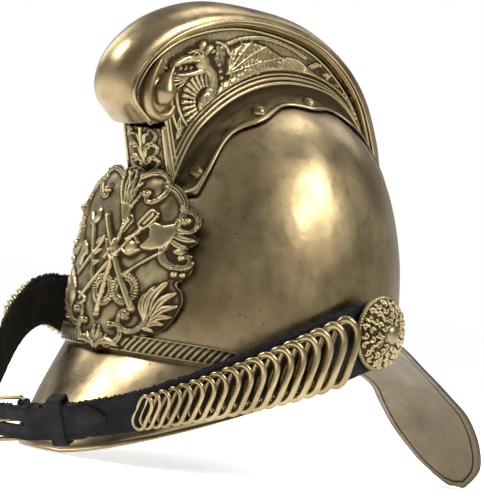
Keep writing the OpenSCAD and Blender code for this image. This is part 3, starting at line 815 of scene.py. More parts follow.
def foot_out(s):
    return 2.5 + 6.5 * smooth((1 - s) / 0.25) * smooth((s + 0.03) / 0.25)


def foot_edge_x(yp):
    return 33.2 + 2.6 * cosd(360 * (yp - FIRST_SCALLOP) / SCALLOP_PITCH) \
        - 6 * smooth((FIRST_SCALLOP - 1 - yp) / 6)


def make_comb_hood():
    """Wide top roll with a bulging nose, and its beaded edges."""
    stations, half = 200, 26
    s = np.linspace(0, 1, stations)
    crest, rim, w = spline(CREST_LINE, s), spline(HOOD_EDGE, s), hood_width(s)
    a = np.linspace(90, -90, 2 * half + 1)
    x = w[:, None] * sind(a)[None]
    p = rim[:, None] + (crest - rim)[:, None] * cosd(a)[None, :, None]
    roll = np.stack([x, SKULL_Y + p[..., 0], p[..., 1]], -1)
    tuck = rim + 4 * unit(COMB_CENTRE - rim)
    left = side_view(tuck_x(s), tuck)[:, None]
    grid = np.concatenate([left, roll, left * MIRROR], 1)
    height = 0.16 * ripples(grid, 40) + 0.05 * ripples(grid, 18)
    sheet("comb_hood_shell", grid, 1.2, SHELL, "helmet", ["comb_hood"], height, depth=2)
    bead = side_view(w + 0.2, rim - 0.2 * unit(COMB_CENTRE - rim))
    groove = side_view(w - 2.2, rim + 1.9 * unit(COMB_CENTRE - rim))
    parts = [tube_data(bead, 1.25, 10), tube_data(groove, 0.6, 8)]
    piece("comb_hood_beads", joined(parts + [mirrored(part) for part in parts]), BRIGHT, "helmet",
          None)


def draw_dragon(relief):
    """A plain heraldic dragon, head to the front, with a wing, a coiled tail and scrolls."""
    wing = [(-56, 240), (-57, 249), (-53, 256), (-46, 261), (-38, 263), (-25, 262), (-10, 257),
            (-20, 253), (-31, 250), (-42, 243), (-50, 238)]
    relief.fill(wing, 1.7, 1.2)
    for tip in wing[2:7]:
        root = np.array(wing[0])
        relief.stroke([root, mix(root, np.array(tip), 0.55) + (0, 1.5), tip], 0.75, 2.5, 0.5)
    for n in range(16):
        tip = np.array((mix(-55, -12, n / 15), mix(250, 254, n / 15)))
        relief.stroke([mix(np.array(wing[0]), tip, 0.45), tip], 0.4, 2.1, 0.4)
    relief.stroke([(-63, 225), (-52, 233), (-40, 243), (-27, 250), (-12, 252)], 5.5, 2.0, 4.5)
    relief.stroke([(-12, 252), (0, 254), (9, 252)], 5.2, 2.8, 3.6, twist=2.4)
    relief.stroke([(9, 252), (20, 248), (32, 245), (44, 241), (53, 234), (60, 226)], 3.6, 2.6, 1.6)
    relief.stroke([(-62, 255.5), (-46, 263), (-26, 266.5), (-6, 264.5), (10, 259.5)], 1.5, 1.7, 1.1,
                  twist=2.2)
    relief.scroll([(9, 250), (18, 256), (28, 258), (34, 254), (31, 250), (28, 252)], 1.8, 2.2, 1.8)
    relief.scroll([(36, 246), (46, 248), (52, 244), (49, 240), (46, 242)], 1.5, 2.0, 1.4)
    relief.scroll([(50, 236), (58, 238), (63, 232), (60, 228), (58, 231)], 1.3, 1.8, 1.2)
    for y in (-6, 2, 10, 18, 26, 34):
        relief.stroke([(y, 243), (y + 5, 242.5), (y + 9, 245)], 0.7, 1.0, 0.4)
    coil = np.array((-69.0, 220.5))
    for n in range(18):
        d = direction(78 + n * 12.2)
        relief.stroke([coil + 10.2 * d, coil + 18.2 * d], 1.15, 2.2, 1.7)
    relief.ring(coil, 9.8, 0.6, 1.6)
    relief.stroke([(-74, 242), (-68, 237), (-66.5, 230), (-68.5, 224)], 4.0, 3.0, 5.5)
    relief.fill([(-68.5 + 8.8 * cosd(q), 219.5 + 8.8 * sind(q)) for q in range(0, 360, 20)], 3.0, 2.4,
                pebbles=0.6)
    relief.stroke([(-64, 213), (-55, 221), (-45, 232), (-38, 241), (-32, 248)], 2.5, 2.3, 2.2,
                  twist=2.6)
    relief.stroke([(-30, 243), (-36, 238), (-38, 233), (-44, 230)], 2.0, 2.4, 1.2)
    for toe in ((-48, 231), (-47, 227.5), (-43, 226)):
        relief.stroke([(-40, 232), toe], 1.1, 2.1, 0.4)
    relief.fill([(-66, 258), (-59, 256.5), (-54, 250), (-52.5, 243), (-55, 234), (-59, 229),
                 (-62, 236), (-66, 246)], 0.5, 1.0)
    relief.stroke([(-66, 258), (-58.5, 256.5), (-53.5, 250), (-52, 243), (-54.5, 234), (-58, 229)],
                  1.0, 2.0, 0.8)
    for bead in ((-68, 252), (-65, 248.5), (-62.8, 244.6), (-61.2, 240.8), (-60, 237), (-59.4, 233.4)):
        relief.ball(bead, 1.35, 2.0, 0.6)
    relief.ball((-76, 243.5), 6.4, 3.4)
    relief.stroke([(-77, 246), (-85, 245), (-92, 242.5), (-98.5, 238.5)], 4.2, 3.5, 2.1)
    relief.stroke([(-75, 239), (-83, 236), (-90, 234), (-94.5, 233.5)], 2.6, 2.9, 1.2)
    relief.ball((-97.6, 240.2), 1.7, 4.1)
    relief.ring((-82.5, 246.2), 2.7, 0.7, 4.5)
    relief.ball((-82.5, 246.2), 1.4, 4.9)
    relief.stroke([(-88, 248), (-82, 250.5), (-77, 249.5)], 1.0, 4.4, 0.5)
    for root, tip in (((-78, 250), (-74, 257)), ((-74, 249), (-68, 255))):
        relief.leaf(root, tip, 2.2, 3.0, 0.2)
    for x, y in ((-92, 237.6), (-88, 238.4), (-84, 239.3)):
        relief.leaf((x, y + 1.6), (x - 0.6, y - 1.4), 0.7, 3.2)
    for tip in ((-103, 236), (-103, 232), (-101, 229), (-97, 226.5), (-92, 226)):
        relief.stroke([(-86, 233.5), mix(np.array((-86, 233.5)), np.array(tip), 0.5) + (0, -1.2), tip],
                      0.8, 1.6, 0.3)
    for curl in ([(-93, 222), (-90, 214), (-84, 206), (-79, 203), (-79, 207)],
                 [(-78, 200), (-76, 204), (-71, 205), (-70, 201.5)],
                 [(-96, 218), (-94, 210), (-90, 203), (-86, 198)]):
        relief.stroke(curl, 1.2, 1.7, 0.6)
    for root, tip in (((-88, 196), (-84, 204)), ((-86, 189), (-79, 197)), ((-87, 184), (-82, 189)),
                      ((-86, 200), (-88, 209))):
        relief.leaf(root, tip, 2.0, 1.9, 0.15)


def make_comb_sides():
    """Embossed side panels with beaded borders, a splayed foot and a scalloped edge, made bright by rubbing
    and a painted highlight.
    """
    stations, wall = 380, 110
    s = 1 - np.linspace(1, 0, stations) ** 1.25
    yp = foot_place(s)
    foot = dome(COMB_HALF_WIDTH, yp, foot_out(s))
    top = side_view(panel_top_x(s), panel_top(s))
    edge_x = foot_edge_x(yp)
    flange = []
    for x_share, out in ((0, 1.6), (0.06, 2.0), (0.13, 2.05), (0.2, 2.1), (0.28, 2.15), (0.4, 2.25),
                         (0.55, 2.4), (0.7, 2.9), (0.84, 3.6), (0.93, 5.0)):
        rise = np.maximum(0, out - 2.4) * (foot_out(s) - 2.5) / 6.5
        flange.append(dome(mix(edge_x, COMB_HALF_WIDTH + 0.6, x_share), yp, min(out, 2.4) + rise))
    flange = np.array(flange)
    t = np.linspace(0, 1, wall)[:, None, None]
    panel = mix(foot[None], top[None], t)
    grid = np.concatenate([flange, panel])
    relief = Relief(grid[..., 1:] - (SKULL_Y, 0))
    draw_dragon(relief)
    rows = len(flange)
    low = np.linalg.norm(panel - foot[None], axis=-1)
    high = np.linalg.norm(panel - top[None], axis=-1)
    inside = smooth((low - 8.5) / 1.5) * smooth((high - 4.2) / 1.5)
    u, v = cut_place(grid[rows:])
    behind_bars = smooth((-v - 5) / 1.5)
    above_bars = smooth((u - FRONT_HEIGHT + 1) / 2) * (v > -6)
    inside = inside * (behind_bars + above_bars)
    h = relief.h[rows:] * clamp01(inside) + 0.12 * ripples(grid[rows:], 3.0)
    for centre, radius, rise in ((1.6, 1.5, 1.5), (4.7, 1.3, 1.3), (7.4, 0.8, 0.9)):
        h = np.maximum(h, rise * ridge(low - centre, radius))
    h = np.maximum(h, 1.1 * ridge(high - 3.4, 0.9))
    beside = (u < FRONT_HEIGHT + 1) & (u > 2)
    for centre, radius, rise in ((1.3, 1.2, 1.4), (4.0, 0.9, 1.0)):
        h = np.where(beside, np.maximum(h, rise * ridge(-v - centre, radius)), h)
    height = np.zeros(grid.shape[:2])
    height[rows:] = h
    # the raised edge rows get the painted highlight of ridges, along with rubbing
    height[1:3] = 0.55
    height[5:rows - 2] += 0.15 * ripples(grid[5:rows - 2], 14)
    grid, keep = trimmed_front(grid)
    for side, flip in (("left", False), ("right", True)):
        shape = grid * MIRROR if flip else grid[:, ::-1]
        sheet(f"comb_side_{side}_shell", shape, 0.9, RELIEF, "helmet", [f"comb_side_{side}"],
              height if flip else height[:, ::-1],
              keep=keep if flip else keep[:, ::-1], depth=0.9)


def cut_place(grid):
    """Place of points in side view: up along the comb's front edge, and ahead of it."""
    q = grid[..., 1:] - (SKULL_Y, 0) - FRONT_FOOT
    up = np.array((-sind(FRONT_LEAN), cosd(FRONT_LEAN)))
    ahead = np.array((-cosd(FRONT_LEAN), -sind(FRONT_LEAN)))
    return q @ up, q @ ahead


def trimmed_front(grid):
    """The panel cut back to the comb's front edge, and which points are left."""
    u, v = cut_place(grid)
    gone = (u < FRONT_HEIGHT) & (u > 0) & (v > 0) & (grid[..., 0] < 22)
    up = np.array((0, -sind(FRONT_LEAN), cosd(FRONT_LEAN)))
    ahead = np.array((0, -cosd(FRONT_LEAN), -sind(FRONT_LEAN)))
    back = gone & (v <= FRONT_HEIGHT - u)
    rise = gone & ~back
    grid = grid.copy()
    grid[back] -= v[back][:, None] * ahead
    grid[rise] += (FRONT_HEIGHT - u[rise])[:, None] * up
    return grid, ~gone


def make_front_plate():
    """Upright plate under the nose, embossed with a stem of leaves."""
    rows, cols, half_w, ahead, bulge = 90, 80, 18.6, 2.6, 3
    t = np.linspace(0, 0.85, rows)[:, None]
    a = np.linspace(-1, 1, cols)[None]
    line = FRONT_FOOT + t * FRONT_HEIGHT * np.array((-sind(FRONT_LEAN), cosd(FRONT_LEAN)))
    grid = xyz(half_w * a, SKULL_Y + line[:, :1] - ahead - bulge * (1 - a * a), line[:, 1:])
    places = np.stack([grid[..., 0], grid[..., 2]], -1)
    relief = Relief(places)
    relief.stroke([(0, 169), (1, 178), (-1, 188), (0, 200)], 1.1, 1.6)
    for side in (-1, 1):
        for z in (171, 179, 187):
            relief.scroll([(0, z), (side * 7, z + 3), (side * 12, z + 8), (side * 9, z + 12),
                           (side * 6, z + 9)], 1.5, 1.9, 1.3)
            relief.leaf((side * 3, z + 1), (side * 14, z + 1), 2.0, 1.5, side * 0.2)
            relief.leaf((side * 2, z + 3), (side * 5, z + 9), 1.5, 1.4, side * 0.2)
        relief.stroke([(side * 17.6, 168), (side * 17.6, 202)], 0.9, 1.2)
    relief.h += 0.08 * ripples(places, 2.5)
    sheet("comb_front_shell", grid, 1.0, RELIEF, "helmet", ["comb_front_plate"],
          relief.h)
    t = np.linspace(0, 0.9, 20)
    line = FRONT_FOOT + t[:, None] * FRONT_HEIGHT * np.array((-sind(FRONT_LEAN), cosd(FRONT_LEAN)))
    bars = []
    for foot_x, top_x, forward, radius in ((18.6, 17.2, 2.2, 1.3), (18.4, 15.6, 0.2, 1.5)):
        path = np.stack([mix(foot_x, top_x, t), SKULL_Y + line[:, 0] - forward, line[:, 1]], -1)
        bars.append(tube_data(path, radius, 10))
    bars += [mirrored(bar) for bar in bars]
    piece("comb_front_mouldings", joined(bars), RELIEF, "helmet", None)


def make_knobs():
    """Teardrop volutes: a swelling tear cupped by a thick moulding that curls under it."""
    share = np.linspace(0, 1, 44)
    tear = spline([(7, 19), (5, 13), (3, 8), (2, 3), (1.5, -2), (1.5, -9)], share)
    rounded = np.sqrt(np.maximum(0, 1 - clamp01((share - 0.72) / 0.28) ** 2))
    radius = 0.7 + 6.3 * smooth(share / 0.78) * rounded
    cup = spline([(-3, 19), (-6.5, 11), (-9, 3), (-9.5, -5), (-6, -12.5), (1.5, -15.5), (9, -13),
                  (12, -7)], share)
    cup_r = 1.2 + 2.5 * np.sin(math.pi * mix(0.05, 0.9, share))
    centre = np.array((0, SKULL_Y - 106, 222))

    def curve(points, x):
        return np.stack([x + 0 * points[:, 0], points[:, 0], points[:, 1]], -1) + centre

    base = placed(lathe_data([(0.05, 0), (9.0, 0), (9.6, 1.2), (9.0, 2.4), (6.5, 3.2), (0.05, 3.4)], 40),
                  (13.6, SKULL_Y - 106, 218), (0, 1, 0), (0, 0, 1.3), (1, 0, 0))
    parts = [base, tube_data(curve(tear, 18.6), radius, 22), tube_data(curve(cup, 16.4), cup_r, 14)]
    for side in ("left", "right"):
        part = joined(parts) if side == "left" else mirrored(joined(parts))
        piece(f"comb_knob_{side}_volute", part, SHELL, "helmet", [f"comb_knob_{side}"])


def rivet_data(head_r, head_h, shank_l=0.5):
    """A round head that stands on z = 0, over a short shank."""
    q = np.linspace(0, 90, 9)
    head = [(max(0.04, head_r * cosd(a)), head_h * sind(a)) for a in q]
    return lathe_data([(0.04, -shank_l), (head_r * 0.5, -shank_l), (head_r * 0.55, -0.2),
                       (head_r * 1.04, -0.1), (head_r * 1.07, 0.15)] + head, 28)


def on_dome(part, x, yp, out):
    """A part drawn along +Z, put on the skull with Z along the skull's normal."""
    step = 0.5
    ahead = unit(dome(x, yp + step) - dome(x, yp - step))
    aside = dome(x + step, yp) - dome(x - step, yp)
    normal = unit(np.cross(aside, ahead))
    return placed(part, dome(x, yp, out), unit(np.cross(ahead, normal)), ahead, normal)


def make_rivets():
    """Round heads along the comb and on the neck guard."""
    big = rivet_data(4.4, 3.2)
    parts = joined([on_dome(big, 28, FIRST_SCALLOP + n * SCALLOP_PITCH, 2.3) for n in range(3)])
    piece("comb_rivet_heads_left", parts, RELIEF, "helmet", ["comb_rivets_left"])
    piece("comb_rivet_heads_right", mirrored(parts), RELIEF, "helmet", ["comb_rivets_right"])
    small = []
    for angle in (54, 72, 90, 108, 126):
        p = dome_ring(angle, edge_share(angle) + 0.012, LAP_GAP + SHEET_T)
        normal = unit(np.array((cosd(angle) / SKULL_HALF_WIDTH, sind(angle) / SKULL_HALF_LENGTH,
                                0.12 / SKULL_HEIGHT)))
        tangent = unit(np.array((-normal[1], normal[0], 0)))
        small.append(placed(rivet_data(2.2, 1.4), p, tangent, np.cross(normal, tangent), normal))
    piece("neck_guard_rivet_heads", joined(small), RELIEF, "helmet", ["neck_guard_rivets"])


# ---------- badge and brow band ----------

BADGE_HALF_OUTLINE = [(0, 62.5), (8, 64.5), (14, 65.5), (19.5, 66), (21.5, 71), (28, 75), (36, 76),
                      (43, 79), (48, 84.5), (51, 91), (53, 99), (51.5, 105), (48, 109), (51, 112),
                      (54, 116), (54.5, 121), (52.5, 127), (49.5, 130), (53, 133.5), (54, 137),
                      (50.5, 140.5), (54, 144), (54, 149), (49.5, 152.5), (45, 156), (41.5, 162),
                      (36, 167), (31, 168.5), (27.5, 172.5), (22, 175), (15, 174), (10, 172.5),
                      (6, 174.5), (0, 176)]
ON_OUTLINE = 0.0005  # a point this near to the badge's outline counts as outside it


def badge_face(x, z, out):
    """Points on the skull's front, seen from the front, moved out."""
    k = np.maximum(0, z - BROW_Z) / SKULL_HEIGHT
    s = (1 - k ** 3) ** (1 / 3)
    w = x / (SKULL_HALF_WIDTH + out)
    y = SKULL_Y - (SKULL_HALF_LENGTH + out) * np.sqrt(np.maximum(0, s * s - w * w))
    return xyz(x, y, z)


def draw_border(relief, side):
    """Scrolls, leaves and balls of one side of the badge's border."""
    def at(points):
        return [(side * x, z) for x, z in points]
    relief.scroll(at([(9, 170), (16, 173), (24, 173), (29.5, 168), (29, 161), (24, 156), (18.5, 155.5),
                      (17.5, 160)]), 2.3, 2.1, 2.3, 3)
    relief.scroll(at([(29, 167), (36, 164), (41.5, 158), (43.5, 150), (41, 143)]), 3.6, 1.9, None, 4)
    relief.scroll(at([(42, 154), (49, 152), (52.3, 146.5), (49.5, 141), (44, 141.5), (43, 146),
                      (46.6, 147)]), 1.9, 2.2, 2.0, 3)
    for root, tip in (((41, 140), (49, 141)), ((41, 137.5), (53.5, 136)), ((40, 134.5), (51, 130.5)),
                      ((44, 128), (50, 129))):
        relief.leaf(*at([root, tip]), 2.0, 2.0, side * -0.06)
    relief.scroll(at([(39, 134), (36.5, 127), (40, 121), (47, 118.5), (53, 121), (52, 126),
                      (48, 124.5)]), 2.8, 2.1, 2.0, 4)
    relief.ball((side * 46, 114.3), 2.0, 2.4).ball((side * 50.4, 114.6), 1.7, 2.2)
    for root, tip, width in (((34, 86), (32, 101), 2.4), ((34, 87), (37, 106), 2.4),
                             ((36, 88), (44, 110), 2.7), ((38, 88), (49.5, 104), 2.6),
                             ((38, 86), (51, 96), 2.4), ((37, 84), (49, 89), 2.2),
                             ((36, 82), (45.5, 84), 2.0), ((34, 80), (40, 78.5), 1.8)):
        relief.leaf(*at([root, tip]), width, 2.3, side * 0.12)
    relief.scroll(at([(35, 92), (34, 84), (29, 78), (21.5, 77), (16.8, 81.5), (17.5, 87.5),
                      (22.5, 88.5), (22, 85)]), 2.1, 2.1, 2.1, 3)
    relief.scroll(at([(9, 67), (15.5, 69), (19, 74), (17, 79.5), (12, 79)]), 2.5, 2.0, 1.9, 3)
    relief.leaf(*at([(1, 66), (19, 66.5)]), 2.3, 2.2, side * 0.16)
    for root, tip in (((1, 64), (5, 74)), ((2, 66), (9, 73)), ((0.5, 68), (2, 78))):
        relief.leaf(*at([root, tip]), 1.6, 1.8, side * -0.1)
    outline = at(BADGE_HALF_OUTLINE)
    relief.stroke(outline, 0.8, 0.9)


def draw_tools(relief):
    """Crossed torch, pole and axe over two coils of hose, with a small helmet."""
    for n, tip in enumerate(((-7, 170), (-4, 173), (-0.5, 171), (2.5, 174), (5.5, 169.5), (8.5, 172),
                             (12, 166), (13.5, 160))):
        sway = 2.2 if n % 2 else -2.2
        relief.stroke([(6 + 0.5 * n, 142), (2 + n, 150), mix(np.array((4, 150)), np.array(tip), 0.6)
                       + (sway, 0), tip], 1.25, 2.1, 0.4)
    relief.stroke([(5, 133), (10, 143)], 1.4, 2.4, 3.2, strands=2)
    relief.ring((0.1, 99.1), 8.2, 2.0, 1.9, 1.7).ring((0.1, 99.1), 5.6, 0.6, 1.1)
    relief.ring((17.2, 101.5), 8.2, 2.0, 1.9, 1.7).ring((17.2, 101.5), 5.6, 0.6, 1.1)
    relief.stroke([(-22, 92), (0, 115), (21, 139)], 1.3, 2.0, 1.5)
    relief.stroke([(-24, 95), (-16, 92), (-20, 88)], 1.2, 1.9)
    relief.fill([(41.5, 145.5), (43.6, 140), (42, 134), (37.5, 128.5), (31, 126), (24.5, 126),
                 (21, 128.3), (24.5, 131), (26.5, 134.5), (26, 138.5), (23.5, 140.5), (29, 144.5),
                 (35, 143)], 1.9, 1.4)
    relief.stroke([(18, 141), (22.5, 138.5), (29, 147.5), (24.5, 150), (18, 141)], 0.8, 2.6)
    relief.stroke([(21.5, 142), (26, 148)], 1.5, 1.7)
    relief.stroke([(12, 107.5), (24, 117), (37, 126.5)], 0.7, 1.7)
    relief.leaf((19, 113), (11.5, 107), 1.6, 1.9)
    relief.stroke([(-9.4, 143), (7, 117.5), (24.5, 91.5)], 1.0, 3.0, 2.3)
    relief.ball((-9.6, 143.3), 2.0, 2.6).ball((24.8, 90.8), 2.8, 3.4)
    relief.stroke([(7, 140), (2.5, 112), (-1.8, 85)], 0.95, 2.7, 1.9)
    relief.ball((-2, 84.2), 2.3, 3.0)
    relief.stroke([(-3, 129), (0, 123), (4, 118), (7, 123), (4, 130), (1.5, 124), (-2, 118)], 1.0, 3.5, 0.9)
    relief.ball((16.5, 126.5), 5.0, 2.5)
    relief.stroke([(10.5, 124.5), (16, 122.5), (22.5, 126)], 1.0, 2.2)
    relief.stroke([(12, 131), (17, 133.5), (21, 130)], 0.9, 2.9)
    relief.stroke([(-24, 139), (-17, 122), (-11, 104)], 1.1, 2.0, 1.6)
    relief.leaf((-23, 137), (-29, 145), 2.4, 2.0, 0.2).leaf((-24, 138), (-20, 148), 2.4, 2.0, -0.2)
    relief.fill([(-30, 128), (-33, 120), (-32, 112), (-28, 110), (-26, 116), (-22, 119), (-25, 125)],
                1.6, 1.4)
    relief.stroke([(-30, 106), (-22, 114), (-12, 124), (-8, 131)], 1.0, 1.8, 0.8)
    for z in (112, 119, 126):
        relief.leaf((-15, z), (-8, z + 4), 1.5, 1.6, 0.1)


def make_badge():
    """Die-struck plate with an outline of scrolls, and the emblem in its middle."""
    rows, cols = 215, 205
    x = np.linspace(-55.5, 55.5, cols)[None] + np.zeros((rows, 1))
    z = np.linspace(61.5, 177, rows)[:, None] + np.zeros((1, cols))
    places = np.stack([x, z], -1)
    half = spline(BADGE_HALF_OUTLINE, np.linspace(0, 1, 160))
    outline = np.concatenate([half, (half * (-1, 1))[::-1]])
    best, nearest = np.full(places.shape[:2], 1e9), places.copy()
    for a, b in zip(outline[:-1], outline[1:]):
        d = b - a
        t = clamp01(((places - a) @ d) / max(d @ d, 1e-9))
        p = a + t[..., None] * d
        far = np.linalg.norm(places - p, axis=-1)
        closer = far < best
        best[closer], nearest[closer] = far[closer], p[closer]
    inside = enclosed(places, outline) & (best > ON_OUTLINE)
    places[~inside] = nearest[~inside]
    relief = Relief(places)
    draw_border(relief, 1)
    draw_border(relief, -1)
    draw_tools(relief)
    h = relief.h + 0.1 * ripples(places, 9) - 0.8 * smooth((3 - best) / 3)
    stand_off = 5.4 + 0.6 * smooth(best / 20)
    grid = badge_face(places[..., 0], places[..., 1], stand_off)
    sheet("badge_shell", grid, 1.2, RELIEF, "helmet", ["badge_plate"], h, keep=inside)
    ball = rivet_data(2.1, 1.9)
    bosses = []
    for bx, bz in ((17.6, 159.6), (46.6, 146.4), (22, 85.2), (12.3, 79.2)):
        for side in (-1, 1):
            p, q = (badge_face(side * bx + d, bz, 8.2) for d in (0, 0.5))
            aside = unit(q - p)
            up = np.array((0, 0, 1.0))
            out = unit(np.cross(aside, up))
            bosses.append(placed(ball, p, aside, np.cross(out, aside), out))
    piece("badge_boss_balls", joined(bosses), BRIGHT, "helmet", ["badge_bosses"])


def make_brow_band():
    """Raised band of slanting links between two thin lines."""
    columns, rows = 1500, 18
    f = np.linspace(-1, 1, columns)
    a = -90 + 58 * f
    v = np.linspace(0, 1, rows)[:, None]
    tall = BAND_HEIGHT * (1 - 0.75 * np.abs(f) ** 14)
    base = dome_ring(a, edge_share(a), 2 * LAP_GAP + 2 * SHEET_T + 0.8)
    grid = base[None] + np.stack([0 * v + 0 * f, 0 * v + 0 * f, 2 + tall * (v - 0.14)], -1)
    run = np.cumsum(np.r_[0, np.linalg.norm(np.diff(base, axis=0), axis=1)])
    run = (run - run[-1] / 2)[None]
    phase = np.abs(run) / 4.3 - 0.75 * np.sin(math.pi * (v - 0.5)) * 0.9
    links = (0.5 + 0.5 * np.cos(2 * math.pi * phase)) ** 0.8
    inner = np.sin(math.pi * clamp01((v - 0.1) / 0.8)) ** 0.5
    lines = notch(v - 0.05, 0.05) + notch(v - 0.95, 0.05)
    height = 0.95 * links * inner + 0.6 * lines
    sheet("brow_band_shell", grid, 1.2, RELIEF, "helmet", ["brow_band"], height)


# ---------- rosettes ----------


def make_rosettes():
    """Domed rosettes crowded with small curls round a smooth boss."""
    rim = (0.05, 8, 16, 21, 23.0, 23.1, 23.0)
    r = np.r_[rim, np.linspace(22.4, 0.05, 80)]
    cup = (ROSETTE_DOME ** 2 + ROSETTE_R ** 2) / (2 * ROSETTE_DOME)
    low = np.array([0, 0, 0, 0, 0.1, 0.8, 1.5])
    high = ROSETTE_DOME - cup + np.sqrt(cup ** 2 - r[len(rim):] ** 2)
    profile = np.stack([r, np.r_[low, high + 0.9]], -1)
    marks = {}

    def height(grid):
        relief = Relief(grid[..., :2])
        for count, row_radius, turn in CURL_ROWS:
            for n in range(count):
                q = 360 * n / count + turn
                middle = row_radius * direction(q)
                start = q + (40 if n % 2 else 215)
                curl = [middle + CURL_R * direction(start + a) for a in (0, 75, 150, 225)]
                relief.stroke(curl, 0.85, 1.7, 0.55)
                relief.ball(middle, 0.75, 1.4)
        relief.ring((0, 0), 22.0, 0.8, 0.9, 1.9)
        relief.ball((0, 0), 5.8, 3.2)
        relief.ring((0, 0), 5.8, 0.7, 0.8)
        relief.h[:len(rim) - 1] = 0
        # the hollows round the curls get patina and painted shade, the curls' tops rubbed brass and a
        # painted highlight
        marks["wear"] = worn_and_lit(relief.h, True, 0.9)
        return relief.h

    part = lathe_data(profile, 220, height)
    lean = 8
    base = np.array((TAB_OUTER_X + 0.5 + ROSETTE_R * sind(lean), HINGE[1], HINGE[2]))
    out = np.array((cosd(lean), sind(lean), 0))
    left = placed(part, base, (0, 0, -1), (-sind(lean), cosd(lean), 0), out)
    for side, shape in (("left", left), ("right", mirrored(left))):
        piece(f"rosette_{side}_leaves", shape, RELIEF, "helmet", [f"rosette_{side}"],
              marks["wear"])


# ---------- chin strap ----------


def strap_line(a):
    """Middle of the strap at the angle a: 0 is the left rosette, 180 the right."""
    a = np.asarray(a, float)
    power = 2.4 - 0.5 * smooth((a - 95) / 30) * smooth((174 - a) / 40)
    e = 2 / power
    forward = STRAP_REACH * signed_pow(sind(a), e)
    bow = FAR_BOW * sind(180 * clamp01((a - 97) / 83)) ** 2
    x = (TAB_INNER_X + TAB_OUTER_X) / 2 * signed_pow(cosd(a), e)
    return np.stack([x, HINGE[1] - forward, HINGE[2] - STRAP_FALL * forward + bow], -1)


def strap_axes(a):
    """Along, across and outwards at the angle a of the strap."""
    a = np.asarray(a, float)
    along = unit(strap_line(a + 0.5) - strap_line(a - 0.5))
    slope = unit(np.array((0, -STRAP_FALL, 1.0)))
    across = unit(slope - np.sum(slope * along, -1, keepdims=True) * along)
    return along, across, np.cross(across, along)


def strap_width(a):
    return mix(STRAP_WIDE, STRAP_NARROW, smooth(sind(a) * 1.05 - 0.05))


def strap_lift(a):
    """How far the right half stands off to pass over the left one's end."""
    return 5.9 * smooth((112 - a) / 12) - 2.6 * smooth((83 - a) / 7)


def on_strap(part, a):
    """A part drawn flat, put on the strap's outer face at the angle a."""
    along, across, out = strap_axes(a)
    return placed(part, strap_line(a), along, -across, out)


def strap_grid(a, shares, width, lift):
    _, across, out = strap_axes(a)
    middle = strap_line(a) + out * lift[:, None]
    return middle[None] + across[None] * (shares[:, None] * width[None] / 2)[..., None], out


def tab_end(angle, lengths, shares, outward):
    """Rounded end of the strap behind a rosette, as rows across it at those lengths."""
    along, across, _ = strap_axes(angle)
    middle = strap_line(angle)[None] + outward * along * lengths[:, None]
    half = np.sqrt(np.maximum(0.01, (STRAP_WIDE / 2 - 1) ** 2 - lengths ** 2))
    return middle[None] + across * (shares[:, None] * half[None])[..., None]


def strap_shares():
    """Places across the strap, with lines at both edges of the prong slot."""
    slot = PRONG_GAP / STRAP_NARROW
    return np.r_[np.linspace(-1, -slot, 22), np.linspace(-slot, slot, 7)[1:-1], np.linspace(slot, 1, 22)]


def make_strap(side):
    """Leather half of the strap, its upper edge roughly cut, with creases and a tooled line."""
    shares = strap_shares()
    left = side == "left"
    stations = 330 if left else 460
    end = BUCKLE_ANGLE - 1.2 if left else TONGUE_TIP_ANGLE
    a = np.linspace(1 if left else 179, end, stations)
    width = strap_width(a)
    thickness = STRAP_T if left else TONGUE_T
    lift = np.zeros(stations) if left else strap_lift(a)
    if not left:
        width = width * mix(0.2, 1, clamp01((a - end) / 6) ** 0.6)
    body, out = strap_grid(a, shares, width, lift + thickness / 2)
    lengths = np.linspace(STRAP_WIDE / 2 - 1.4, 0.6, 16)
    cap = tab_end(a[0], lengths, shares, -1 if left else 1) + out[0] * thickness / 2
    grid = np.concatenate([cap, body], 1)
    steps = np.linalg.norm(np.diff(grid[len(shares) // 2], axis=0), axis=1)
    run = np.r_[0, np.cumsum(steps)]
    half = np.r_[np.full(len(lengths), STRAP_WIDE / 2 - 1), width / 2]
    gap = (1 - np.abs(shares))[:, None] * half[None]
    height = 0.22 * ripples(grid, 22) + 0.12 * ripples(grid, 7)
    height -= 0.45 * notch(gap - 2.6, 0.45) + 0.7 * notch(gap, 0.7)
    across = strap_axes(np.r_[np.full(len(lengths), a[0]), a])[1]
    line = np.stack([run, 0 * run], -1)
    ragged = (0.5 * ripples(line, 5) + 0.5 * ripples(line, 2.4)) * smooth(run / 30)
    near_top = np.maximum(0, shares - 0.85) / 0.15
    grid = grid + (across * ragged[:, None])[None] * near_top[:, None, None]
    x = (grid - BUCKLE) @ strap_axes(BUCKLE_ANGLE)[0]
    lower = (run > 120)[None]
    in_slot = (np.abs(shares) < PRONG_GAP / STRAP_NARROW - 0.01)[:, None] & (x > -7) & (x < 19)
    keep = ~(in_slot & lower)
    if not left:
        for n in range(3):
            far = np.hypot(x - 30 - 9 * n, shares[:, None] * half[None])
            height = height - 1.0 * smooth((1.9 - far) / 0.9) * lower
        grid, height, keep = grid[::-1], height[::-1], keep[::-1]
    sheet(f"strap_leather_{side}", grid, thickness, BLACK_LEATHER, "chin_strap",
          [f"chin_strap_{side}"], height, keep=keep, depth=1.4, bevel=0.5)


def ring_on_bar(profile, middle, around):
    """A closed section turned about the strap's width, as the buckle's bar runs."""
    profile = np.array(profile)
    q = np.arange(around) * 2 * math.pi / around
    grid = np.stack([profile[:, :1] * np.cos(q), profile[:, 1:] + middle + 0 * q,
                     -profile[:, :1] * np.sin(q)], -1)
    return grid.reshape(-1, 3), [f[::-1] for f in grid_faces(len(profile), around, True)]


